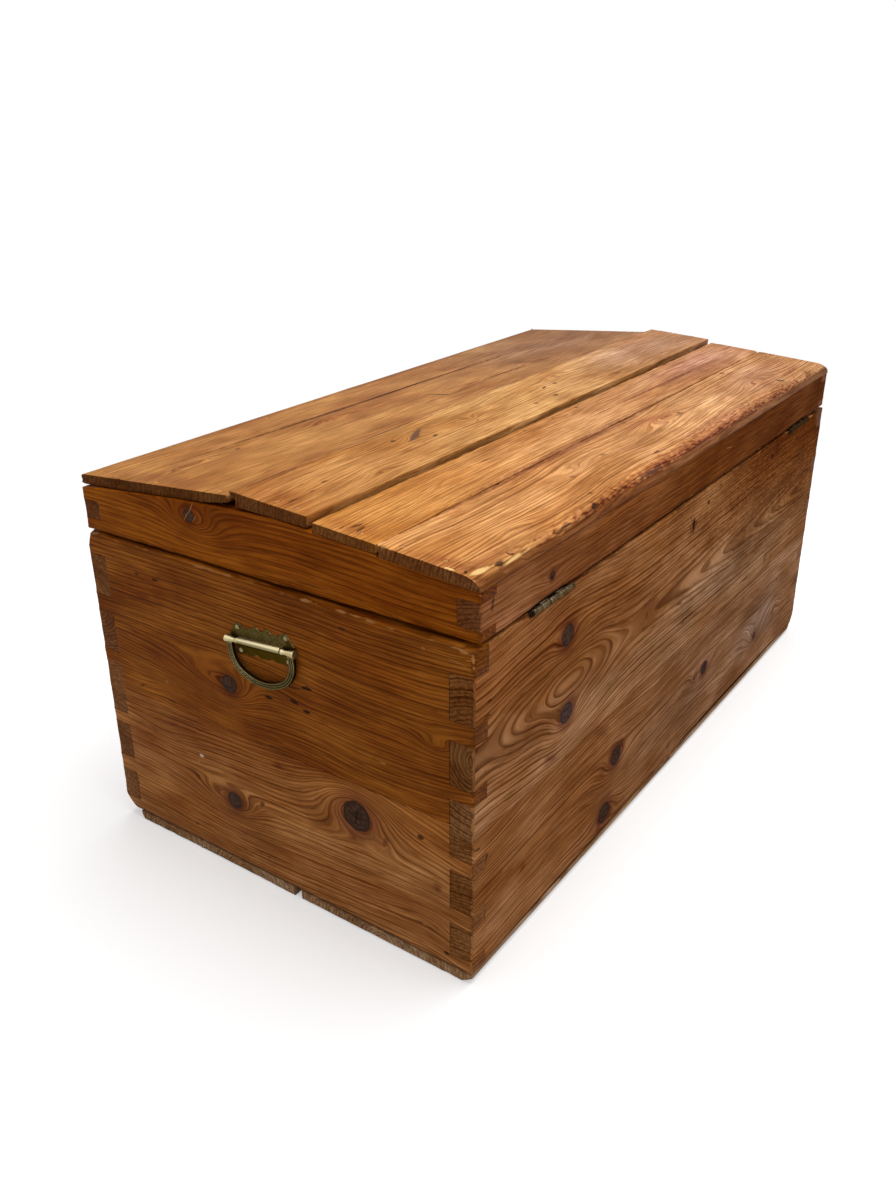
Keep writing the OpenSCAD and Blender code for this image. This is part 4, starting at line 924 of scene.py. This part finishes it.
rails["lid_right_end_rail"] = pine(
    "pine_lid_right_end_rail", "Y", "Z", ("X", 474.5, 1), RAIL_RED, heart=250, ring=5.4, seed=23, wander=10,
    skew=RIGHT_RAIL_SKEW, bow=[(-255, 20), (-92, 60), (60, 20), (255, 60)],
    knots=[(-92, 426, 7.5, 26, 21, 1.9, 2.1)],
    swells=[(-70, 412, 12, 20, 1.8, 2.8), (120, 400, 8, 28, 3.6, 3.6)],
    stains=[(-92, 428, 24, 14, 0, (1.35, 1.5, 1.6), 0.6), (160, 395, 80, 14, 0, RED_STAIN, 0.5),
        (-200, 420, 50, 20, 0, (1.2, 1.35, 1.6), 0.5)],
    marks=[(-88, 434, 9, 0.9, 60, BARE_WOOD, 0.9, 0.3), (-96, 424, 9, 0.8, 55, BARE_WOOD, 0.8, 0.3),
        (-84, 424, 7, 0.8, 50, BARE_WOOD, 0.7, 0.3), (60, 388, 30, 1.2, 0, GRIME, 0.5, 0.3)])
rails["lid_left_end_rail"] = pine(
    "pine_lid_left_end_rail", "Y", "Z", ("X", -476, -1), RAIL_RED, heart=250, ring=5.2, seed=24, wander=10,
    bow=[(-255, 22), (0, 56), (255, 24)],
    knots=[(70, 415, 8, 26, 14, 2.4, 3)])


LEFT_END, RIGHT_END, LONG_SIDE, FRAME_FOOT = -0.476, 0.4745, 0.255, 0.3797


def rail_arris(point):
    """Tells whether a point lies on an outer arris of the lid's frame, whose right rail stands a little askew."""
    right = RIGHT_END + RIGHT_RAIL_SKEW * point.y
    on_end = min(abs(point.x - right), abs(point.x - LEFT_END)) < NEAR
    on_long = abs(abs(point.y) - LONG_SIDE) < NEAR
    return on_end + on_long + (point.z < FRAME_FOOT) >= 2


for name, material in rails.items():
    steps = (9, 6, 8) if "end" in name else (6, 9, 8)
    board(name, "lid", material, steps, rail_arris, round_arris=1.8)

# %% [markdown]
# The planks slope both ways from the crown, so depth is measured from a sloping face. The front plank is cracked
# along its length, and the back one has a torn edge with pale splinters.

# %% Plank materials
HONEY = (0.470, 0.189, 0.047)
# FAR_GLARE and the drift tints that raise the blue at the planks' far ends are painted glare: they make those parts
# paler and bluer, as a grazing reflection of the light would.
FAR_GLARE = (0.88, 0.95, 1.35)
JOINT_STAIN = (0.52, 0.38, 0.38)
SPLINTER = (0.80, 0.52, 0.20)
PLANK_END = (0.37, 0.31, 0.29)
planks = {}
planks["lid_board_front"] = pine(
    "pine_lid_front", "X", "Y", ("Z", 460.5, 1), (0.336, 0.127, 0.024), heart=-420, ring=5.0, seed=31, wander=40,
    slope=0.089, contrast=0.6, end_tint=PLANK_END,
    drift=[(-481, (0.66, 0.72, 1.3)), (0, (0.96, 0.99, 1.2)), (481, (1.0, 1.0, 1.0))],
    bow=[(-481, 60), (-200, 20), (60, 60), (330, 20), (481, 50)],
    swells=[(160, -160, 16, 14, 4, 5), (400, -170, 22, 12, 4, 3), (-200, -110, 14, 12, 4, 4)],
    # The dark band along the front edge is hand grease on the worn edge, together with painted shade where that edge
    # turns away and down.
    stains=[(0, -252, 520, 9, 0, (0.55, 0.45, 0.42), 0.8), (401, -167, 60, 9, 0, JOINT_STAIN, 0.6),
        (-60, -93, 190, 8, 2, (0.6, 0.48, 0.46), 0.8), (40, -178, 400, 7, -1.2, (0.5, 0.36, 0.3), 0.9),
        (-300, -150, 230, 110, 0, FAR_GLARE, 0.9), (186, -157, 60, 9, 0, (0.85, 0.6, 0.45), 0.7),
        (130, -118, 130, 8, 0, (0.7, 0.56, 0.52), 0.6), (-199, -112, 22, 30, 10, (0.6, 0.46, 0.46), 0.7),
        (455, -150, 26, 110, 0, (0.62, 0.5, 0.48), 0.55), (0, -180, 460, 80, 0, (0.92, 0.86, 0.8), 0.5)],
    marks=[(40, -179, 350, 1.5, -1.2, GRIME, 0.85, 0.3), (-109, -96.5, 82, 1.5, -4.4, GRIME, 0.85, 0.3),
        (23, -102, 21, 2.8, 106, GRIME, 0.9, 0.5), (332, -163.5, 4.5, 3.2, 0, GRIME, 0.9, 0.4),
        (-164, -144.5, 13, 1.3, 28, BARE_WOOD, 0.9, 0.2), (-206, -167, 13, 1.4, 30, BARE_WOOD, 0.9, 0.2),
        (-274, -107, 8, 2, -20, GRIME, 0.6, 0.2), (240, -34.5, 125, 1.6, 0, GRIME, 0.7, 0.2),
        (420, -205, 14, 1.2, 6, GRIME, 0.6, 0.3)])
planks["lid_board_crown"] = pine(
    "pine_lid_crown", "X", "Y", ("Z", 460.5, 1), (0.352, 0.131, 0.0284), heart=-190, ring=4.6, seed=32, wander=26,
    slope=-0.054, contrast=0.6, end_tint=PLANK_END,
    drift=[(-481, (0.94, 1.116, 2.09)), (0, (1.227, 1.516, 2.01)), (481, (1.0, 1.0, 1.0))],
    bow=[(-481, 50), (-150, 14), (214, 60), (481, 14)],
    swells=[(214, -2, 12, 9, 3, 3), (120, 12, -9, 9, 2, 2), (-110, -12, 10, 10, 4, 4), (330, 40, 8, 10, 4, 4)],
    stains=[(400, -29, 90, 5, 0, JOINT_STAIN, 0.8), (450, 15, 26, 50, 0, (0.8, 0.62, 0.55), 0.6),
        (-320, 15, 190, 60, 0, FAR_GLARE, 0.9), (-185, 48, 26, 6, 0, (0.6, 0.48, 0.48), 0.7),
        (-130, 30, 60, 18, 0, (0.82, 0.74, 0.74), 0.6), (120, 20, 90, 26, 0, (0.88, 0.8, 0.72), 0.5)],
    marks=[(214, -1, 31, 4.6, 23, (0.1, 0.048, 0.03), 0.85, 0.3), (249, -6, 4, 3, 0, GRIME, 0.9, 0.3),
        (201, 17, 6, 2.5, 8, GRIME, 0.9, 0.4), (128, 3, 11, 1.8, -45, GRIME, 0.75, 0.3),
        (121, 22, 10, 1.2, 12, GRIME, 0.6, 0.3), (-56, 9.5, 9, 2, 14, GRIME, 0.9, 0.3),
        (-84, 9.5, 5, 3.4, 0, GRIME, 0.9, 0.4), (-36, 38, 7.5, 2.8, 0, GRIME, 0.9, 0.3),
        (13, 38, 5, 4, 0, GRIME, 0.6, 0.3), (343.5, -34.6, 6, 3, 30, BARE_WOOD, 1.0, 0.5),
        (-250, -34, 30, 3, 6, BARE_WOOD, 0.8, 0.3), (450, 28, 9, 1.5, 0, BLACK, 0.8, 0.3),
        (420, 26, 5, 1.4, 0, BLACK, 0.6, 0.3), (393, 18, 6, 2.4, 0, GRIME, 0.7, 0.3),
        (-189, 49, 9, 1.4, 0, GRIME, 0.7, 0.3), (60, -14, 50, 1.2, 8, GRIME, 0.5, 0.2),
        (240, -32, 120, 1.1, 0, GRIME, 0.7, 0.2)])
planks["lid_board_inner"] = pine(
    "pine_lid_inner", "X", "Y", ("Z", 456.7, 1), HONEY, heart=-100, ring=4.4, seed=33, wander=16, slope=-0.061,
    end_tint=PLANK_END, contrast=0.6,
    drift=[(-481, (0.84, 0.9, 1.45)), (0, (0.857, 0.898, 1.17)), (481, (1.04, 1.02, 0.84))],
    bow=[(-481, 30), (0, 60), (481, 24)],
    swells=[(300, 100, 8, 9, 5, 5), (20, 90, -8, 9, 4, 4)],
    stains=[(-200, 113, 265, 5, -1, JOINT_STAIN, 0.95), (140, 142, 330, 6, 0, JOINT_STAIN, 0.9),
        (-330, 105, 190, 50, 0, (0.88, 0.85, 1.15), 0.9), (455, 105, 20, 40, 0, (0.7, 0.5, 0.45), 0.6)],
    marks=[(450, 105.5, 12, 1.6, -8, BLACK, 0.85, 0.4), (454, 113, 9, 1.4, 5, BLACK, 0.85, 0.4),
        (462, 98, 6, 1.2, 5, BLACK, 0.7, 0.3), (223, 98, 17, 1.3, 0, GRIME, 0.8, 0.2),
        (-19, 78, 6, 1.7, 0, GRIME, 0.8, 0.2), (41, 78, 6, 1.4, 0, GRIME, 0.7, 0.2),
        (105, 77, 4, 1.4, 0, GRIME, 0.6, 0.2)])
planks["lid_board_back"] = pine(
    "pine_lid_back", "X", "Y", ("Z", 457.6, 1), HONEY, heart=10, ring=4.5, seed=34, wander=16, slope=-0.066,
    end_tint=PLANK_END, edge_tint=(0.42, 0.33, 0.3), contrast=0.9,
    drift=[(-481, (0.86, 0.96, 1.34)), (0, (1.0, 1.1, 1.5)), (481, (1.0, 1.0, 1.05))],
    bow=[(-481, 60), (-300, 20), (-140, 60), (0, 30), (136, 60), (300, 20), (481, 50)],
    swells=[(-60, 178, 26, 12, 5, 6), (190, 186, -14, 12, 4, 4), (-310, 200, 14, 14, 6, 5), (360, 215, 10, 12, 5, 5)],
    stains=[(130, 148, 340, 9, 0, JOINT_STAIN, 0.95), (0, 250, 520, 11, 0, (0.62, 0.48, 0.46), 0.95),
        (-40, 172, 90, 14, -8, (0.74, 0.58, 0.58), 0.85), (-100, 232, 160, 12, 0, (0.66, 0.52, 0.56), 0.8),
        (462, 220, 18, 60, 0, (0.6, 0.42, 0.4), 0.7), (-330, 200, 200, 60, 0, (0.9, 0.9, 1.2), 0.9),
        (361, 154, 26, 8, 20, (0.8, 0.62, 0.52), 0.6), (430, 235, 60, 14, 0, (0.6, 0.44, 0.42), 0.7)],
    torn=[(-20, 258, 500, 14.0, 0, (0.42, 0.28, 0.24), 1.0), (-60, 248, 440, 15, 0, (0.72, 0.55, 0.5), 0.9)],
    marks=[(68, 227, 8, 1.8, 0, GRIME, 0.9, 0.4), (203, 195, 6, 4, 0, (0.25, 0.08, 0.03), 0.7, 0.3),
        (231, 230, 5, 3, 0, GRIME, 0.6, 0.3), (-311, 153, 5.5, 4, 0, GRIME, 0.8, 0.3),
        (-336, 230, 5, 8, 25, GRIME, 0.85, 0.4), (118, 186, 6, 2, -10, GRIME, 0.6, 0.3),
        (110, 164, 26, 1.2, -28, (0.3, 0.1, 0.04), 0.7, 0.2), (-54, 178, 12, 1.4, 50, (0.3, 0.1, 0.05), 0.7, 0.2),
        (455, 243, 16, 3.5, -6, SPLINTER, 1.0, 0.5), (405, 249, 30, 1.6, 2, SPLINTER, 0.9, 0.4),
        (430, 246, 9, 2.5, 0, BLACK, 0.85, 0.5), (320, 249, 22, 1.6, 0, (0.08, 0.035, 0.018), 0.9, 0.4),
        (255, 247, 8, 3, 20, BLACK, 0.85, 0.6), (130, 248, 40, 2.2, 0, (0.1, 0.045, 0.025), 0.85, 0.5),
        (470, 222, 2.5, 6, 0, SPLINTER, 0.9, 0.4), (466, 236, 5, 2, 40, BLACK, 0.8, 0.4)])
print(len(planks), "plank materials")

# %% [markdown]
# The planks are worked like the case boards. The back plank's edge took harder knocks.

# %% Planks
plank_chips = {
    "lid_board_back": [((-490, 240, 430), (480, 262, 470)), ((466, 140, 430), (480, 260, 470))],
    "lid_board_front": [((466, -205, 430), (480, -170, 470)), ((466, -262, 430), (480, -240, 470))],
    "lid_board_crown": [((330, -37, 440), (360, -30, 470)), ((-290, -37, 440), (-210, -30, 470))],
}
plank_cracks = {
    "lid_board_front": [[(411, -187, 444, 0.3, 3), (330, -184.5, 444.2, 1.2, 8), (200, -180, 444.6, 1.6, 10),
        (90, -177, 444.8, 1.6, 10), (-60, -177, 444.8, 1.2, 9), (-210, -173, 445.1, 1.0, 8),
        (-330, -171, 445.3, 0.3, 3)], [(-24, -103, 451.3, 0.3, 3), (-80, -99, 451.7, 1.3, 9),
        (-150, -93, 452.2, 1.3, 9), (-194, -90, 452.5, 0.3, 3)]],
}
for name, material in planks.items():
    low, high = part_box(name)
    knock = 2.8 if name == "lid_board_back" else 1.8
    finished[name] = board(name, "lid", material, (5, 6, 6), outer_arris_of(low, high),
                           plank_chips.get(name, ()), plank_cracks.get(name, ()), round_arris=1.6, knock=knock)
push_in(finished["lid_board_front"], (472.5, -187, 440), (-5, 1, -2.5), 9)
push_in(finished["lid_board_front"], (472.5, -196, 440), (-4, 0, -1), 7)
for at, wide in ((466, 10), (428, 9), (392, 12), (330, 8), (254, 7), (190, 10), (96, 8), (-40, 9), (-200, 10)):
    push_in(finished["lid_board_back"], (at, 255.7, 440), (0, -2.2, -1.2), wide)

# %% [markdown]
# ## Nail heads
# The planks' nails were punched below the surface and waxed over, so they hardly show. The heads are raised to just
# under the wood, and they get a wood-toned finish.

# %% Nail heads
waxed_nails = merged_copy("lid_nails")
bpy.ops.object.mode_set(mode="EDIT")
bpy.ops.mesh.select_all(action="DESELECT")
bpy.ops.mesh.select_mode(type="FACE")
bpy.ops.object.mode_set(mode="OBJECT")
lowest_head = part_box("lid_nails")[1].z - 24 * MM
for face in waxed_nails.data.polygons:
    face.select = face.normal.z > 0.9 and face.center.z > lowest_head
bpy.ops.object.mode_set(mode="EDIT")
bpy.ops.transform.translate(value=(0, 0, 0.75 * MM))
bpy.ops.object.mode_set(mode="OBJECT")
settle(waxed_nails, "lid_nails", "lid", pine(
    "pine_over_nails", "X", "Y", ("Z", 460.5, 1), (0.42, 0.17, 0.05), heart=-300, bow=[(-481, 20), (481, 40)]))
print("nail heads raised:", sum(face.select for face in waxed_nails.data.polygons))

# %% [markdown]
# ## Metal
# The handles are aged brass, the hinges dull hammered iron, the screws old iron. A pressed plate has soft edges, which
# handling keeps bright, so the plates, bails and leaves are worked from copies whose edges are eased. On the brass,
# brightness on edges that face up is partly a painted highlight, and faces turned down get painted shade.

# %% Tarnish group
tarnish_group, given, result = new_group(
    "Tarnish", named(COLOUR, "Bright", "Dark") + named(FLOAT, "Rub and light", "Spread", "Scale", "Grain"),
    named(COLOUR, "Color") + named(FLOAT, "Roughness", "Relief"))
tree = tarnish_group
mm = in_millimetres(tree)
scaled = add(tree, "ShaderNodeVectorMath", {0: mm, "Scale": given["Scale"]}, operation="SCALE").outputs[0]
spots = add(tree, "ShaderNodeTexNoise", {"Vector": scaled, "Scale": 1.0, "Detail": 3.0}).outputs[0]
stipple = cloud(tree, mm, (1.6, 1.6, 1.6), 1.0)
speckled = calc(tree, "MULTIPLY_ADD", ramp(tree, stipple, 0.35, 0.7), 0.6, ramp(tree, spots, 0.35, 0.72, 0.0, 0.7))
# The rub input carries rubbing together with the painted highlights and painted shade of the plates and bails.
rubbed_and_lit = calc(tree, "MULTIPLY_ADD", speckled, given["Spread"], given["Rub and light"])
rubbed_and_lit = calc(tree, "MINIMUM", calc(tree, "MAXIMUM", rubbed_and_lit, 0.0), 1.0)
tree.links.new(blend(tree, rubbed_and_lit, given["Dark"], given["Bright"]), result["Color"])
tree.links.new(ramp(tree, rubbed_and_lit, 0.0, 1.0, 0.5, 0.34), result["Roughness"])
cells = add(tree, "ShaderNodeTexVoronoi", {"Vector": mm, "Scale": given["Grain"]}).outputs["Distance"]
tree.links.new(calc(tree, "ADD", cells, calc(tree, "MULTIPLY", spots, 0.4)), result["Relief"])
print("tarnish group:", len(tree.nodes), "nodes")

# %% [markdown]
# The metal function puts that group under a shader. Where a piece was worn bright by hands depends on its shape, so
# each kind of piece brings its own small function, which reads the place and the normal. On the plates and bails the
# normal also paints highlights on faces turned up and shade on faces turned down. A clean metal seen at a flat angle
# reflects white, and a dirty one doesn't, so the reflection there is tinted.

# %% Metal materials
GRAZING_TINT = (0.45, 0.33, 0.15)


def metal(name, bright, dark, spread=1.0, scale=0.3, grain=0.6, dent=0.1, rubbed_and_lit=None):
    """A tarnished metal. Its last argument, given (tree, place in mm, normal), adds rubbing, painted highlights and
    shade.
    """
    material = bpy.data.materials.new(name)
    tree = stage_net(material)
    rub_and_light = 0.0
    if rubbed_and_lit:
        rub_and_light = rubbed_and_lit(tree, *place_and_normal(tree))
    skin = use(tree, tarnish_group, {"Bright": bright, "Dark": dark, "Rub and light": rub_and_light, "Spread": spread, "Scale": scale,
                                     "Grain": grain})
    bump = add(tree, "ShaderNodeBump", {"Height": skin["Relief"], "Strength": 1.0, "Distance": dent * MM}).outputs[0]
    shader = add(tree, "ShaderNodeBsdfPrincipled", {
        "Base Color": skin["Color"], "Roughness": skin["Roughness"], "Metallic": 1.0, "Normal": bump,
        "Specular Tint": GRAZING_TINT})
    finish_net(tree, shader.outputs[0])
    return material


def plate_rub_and_light(tree, place, normal):
    """Rubbed on the rim's edges and on the sleeve; where the rim faces up it is a painted highlight, and faces turned
    down get painted shade.
    """
    rim = ramp(tree, calc(tree, "ABSOLUTE", normal["X"]), 0.97, 0.7, 0.0, 1.0)
    # Where the rim faces up, its brightness is a painted highlight.
    rim = calc(tree, "MULTIPLY", rim, ramp(tree, normal["Z"], -0.1, 0.4, 0.05, 1.0))
    sleeve = ramp(tree, calc(tree, "ABSOLUTE", place["X"]), 482.4, 484.0, 0.0, 0.27)
    low_half = ramp(tree, place["Z"], 303.0, 296.0, 0.0, 0.04)
    # Faces turned down get painted shade.
    below = ramp(tree, normal["Z"], 0.05, -0.45, 0.0, -0.9)
    return calc(tree, "ADD", calc(tree, "ADD", rim, sleeve), calc(tree, "ADD", low_half, below))


PIN_Y, PIN_Z, RIGHT_TILT, RIB_TOP = 3.5, 311.0, 0.0872, 488.0


def bail_rub_and_light(tree, place, normal):
    """Rubbed bright on the ears, olive ribs, dark channels; a painted highlight on the inner rib, painted shade
    underneath.
    """
    aside = calc(tree, "SUBTRACT", place["Y"], PIN_Y)
    on_right = calc(tree, "GREATER_THAN", place["X"], 0.0)
    tilt = calc(tree, "MULTIPLY", calc(tree, "MULTIPLY", aside, RIGHT_TILT), on_right)
    above_pin = calc(tree, "SUBTRACT", calc(tree, "SUBTRACT", place["Z"], PIN_Z), tilt)
    ears = calc(tree, "MULTIPLY", ramp(tree, calc(tree, "ABSOLUTE", aside), 28.0, 31.0),
                ramp(tree, above_pin, -4.2, -3.0, 0.0, 0.46))
    outward = calc(tree, "ABSOLUTE", place["X"])
    crest = ramp(tree, outward, RIB_TOP - 0.5, RIB_TOP, -0.2, 0.07)
    # A painted highlight on rib edges that face up and towards +Y.
    lit = calc(tree, "ADD", calc(tree, "MULTIPLY", normal["Y"], 0.6), calc(tree, "MULTIPLY", normal["Z"], 0.8))
    inner_edge_glint = calc(tree, "MULTIPLY", ramp(tree, lit, 0.25, 0.6, 0.0, 0.9),
                      ramp(tree, outward, RIB_TOP - 1.0, RIB_TOP - 0.4))
    # Faces turned down get painted shade.
    below = ramp(tree, normal["Z"], -0.2, -0.8, 0.0, -0.5)
    return calc(tree, "ADD", calc(tree, "ADD", ears, crest), calc(tree, "ADD", inner_edge_glint, below))


def leaf_rub(tree, place, normal):
    """Darker towards the far end of the chest, along X."""
    return ramp(tree, place["X"], -200.0, 200.0, -0.7, 0.0)


plate_brass = metal("plate_brass", (0.80, 0.70, 0.42), (0.054, 0.036, 0.006), spread=0.06, scale=0.35, grain=0.9,
                    dent=0.10, rubbed_and_lit=plate_rub_and_light)
bail_brass = metal("bail_brass", (0.80, 0.68, 0.38), (0.034, 0.023, 0.004), spread=0.05, scale=0.3, grain=0.5,
                   dent=0.05, rubbed_and_lit=bail_rub_and_light)
leaf_iron = metal("hammered_iron", (0.19, 0.14, 0.088), (0.045, 0.032, 0.018), spread=0.8, grain=0.7, dent=0.35,
                  rubbed_and_lit=leaf_rub)
old_iron = metal("old_iron", (0.10, 0.075, 0.06), (0.03, 0.022, 0.018))
screw_brass = metal("screw_brass", (0.32, 0.275, 0.14), (0.14, 0.112, 0.048), scale=0.4)


print("metals:", plate_brass.name, bail_brass.name, leaf_iron.name, old_iron.name, screw_brass.name)

# %% [markdown]
# A bevel rounds the outer edges of the plates, bails and leaves. Their hollow corners keep their shape, so that
# nothing grows into the room that the bails need to swing. The smallest parts stay CAD nodes and only get a finish.

# %% Eased metal pieces
SHARP = math.radians(35)


def eased(node, body, material, width=0.3):
    """A copy of a metal piece with eased edges, in place of its CAD node. Its hollow corners stay sharp."""
    piece = merged_copy(node)
    work = bmesh.new()
    work.from_mesh(piece.data)
    bmesh.ops.triangulate(work, faces=work.faces)
    weight = work.edges.layers.float.new("bevel_weight_edge")
    for edge in work.edges:
        edge[weight] = float(edge.is_convex and edge.calc_face_angle() > SHARP)
    work.to_mesh(piece.data)
    work.free()
    bevel = piece.modifiers.new("ease", "BEVEL")
    bevel.width = width * MM
    bevel.segments = 2
    bevel.limit_method = "WEIGHT"
    bpy.ops.object.modifier_apply(modifier="ease")
    bpy.ops.object.shade_smooth_by_angle(angle=SHARP)
    settle(piece, node, body, material)
    print(f"{piece.name}: {len(piece.data.polygons)} faces")


for side in ("right", "left"):
    eased(side + "_handle_plate", "case", plate_brass, 0.45)
    eased(side + "_handle_bail", side + "_bail", bail_brass, 0.25)
    eased(side + "_hinge_lower_leaf", "case", leaf_iron)
    eased(side + "_hinge_upper_leaf", "lid", leaf_iron)
dressed = {"handle_brass": screw_brass, "hinge_metal": leaf_iron, "old_iron": old_iron}
for name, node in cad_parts.items():
    slots = node.data.materials
    if slots and slots[0].name in dressed:
        slots[0] = screw_brass if "handle_screws" in name else dressed[slots[0].name]
print("finishes:", ", ".join(dressed))

# %% [markdown]
# ## Floor and light
# A plain pale floor under one big soft light. The background is white for the camera and in reflections,
# while the light that falls on the chest from all round stays lower.

# %% Floor
def seen_directly(tree):
    """1 for what the camera sees, also in a reflection or through glass, and 0 for light that falls on things."""
    path = add(tree, "ShaderNodeLightPath").outputs
    return calc(tree, "MAXIMUM", path["Is Camera Ray"],
                calc(tree, "MAXIMUM", path["Is Glossy Ray"], path["Is Transmission Ray"]))


bpy.ops.mesh.primitive_plane_add(size=30)
floor = bpy.context.object
floor.name = "floor"
pale = bpy.data.materials.new("pale_floor")
tree = stage_net(pale)
ground = add(tree, "ShaderNodeBsdfDiffuse", {"Color": (0.80, 0.80, 0.80, 1)}).outputs[0]
glow = add(tree, "ShaderNodeEmission", {"Color": (1, 1, 1, 1), "Strength": 0.42}).outputs[0]
lit = add(tree, "ShaderNodeAddShader", {0: ground, 1: glow}).outputs[0]
white = add(tree, "ShaderNodeEmission", {"Color": (1, 1, 1, 1), "Strength": 1.0}).outputs[0]
away = add(tree, "ShaderNodeVectorMath", {0: add(tree, "ShaderNodeTexCoord").outputs["Object"]},
           operation="LENGTH").outputs["Value"]
seen = seen_directly(tree)
near = add(tree, "ShaderNodeMixShader", {0: seen, 1: ground, 2: lit}).outputs[0]
far = add(tree, "ShaderNodeMixShader", {0: calc(tree, "MULTIPLY", seen, ramp(tree, away, 0.9, 1.6)),
                                        1: near, 2: white}).outputs[0]
finish_net(tree, far)
floor.data.materials.append(pale)
print("floor ready")

# %% [markdown]
# The world gives the white background and a weaker light from all round. Two area lamps add soft shadows.

# %% Light
world = bpy.data.worlds.new("studio")
bpy.context.scene.world = world
world.use_nodes = True
tree = world.node_tree
tree.nodes.clear()
seen = seen_directly(tree)
strength = ramp(tree, seen, 0.0, 1.0, 0.35, 1.0)
sky = add(tree, "ShaderNodeBackground", {"Color": (1, 1, 1, 1), "Strength": strength}).outputs[0]
tree.links.new(sky, add(tree, "ShaderNodeOutputWorld").inputs["Surface"])


def soft_light(name, place, aim, size, power):
    """A square area lamp, turned to what it lights."""
    lamp = bpy.data.lights.new(name, "AREA")
    lamp.size = size
    lamp.energy = power
    lamp_object = bpy.data.objects.new(name, lamp)
    bpy.context.collection.objects.link(lamp_object)
    lamp_object.location = place
    lamp_object.rotation_euler = (Vector(aim) - Vector(place)).to_track_quat("-Z", "Y").to_euler()
    print(name, power, "W")


soft_light("overhead", (-0.2, 0.3, 2.6), (0, 0, 0.2), 2.4, 62)
soft_light("hinge_side", (0.9, 3.0, 1.3), (0.3, 0, 0.2), 1.6, 4)

# %% [markdown]
# ## Finish

# %% Finish
bpy.context.scene.view_settings.view_transform = "Standard"
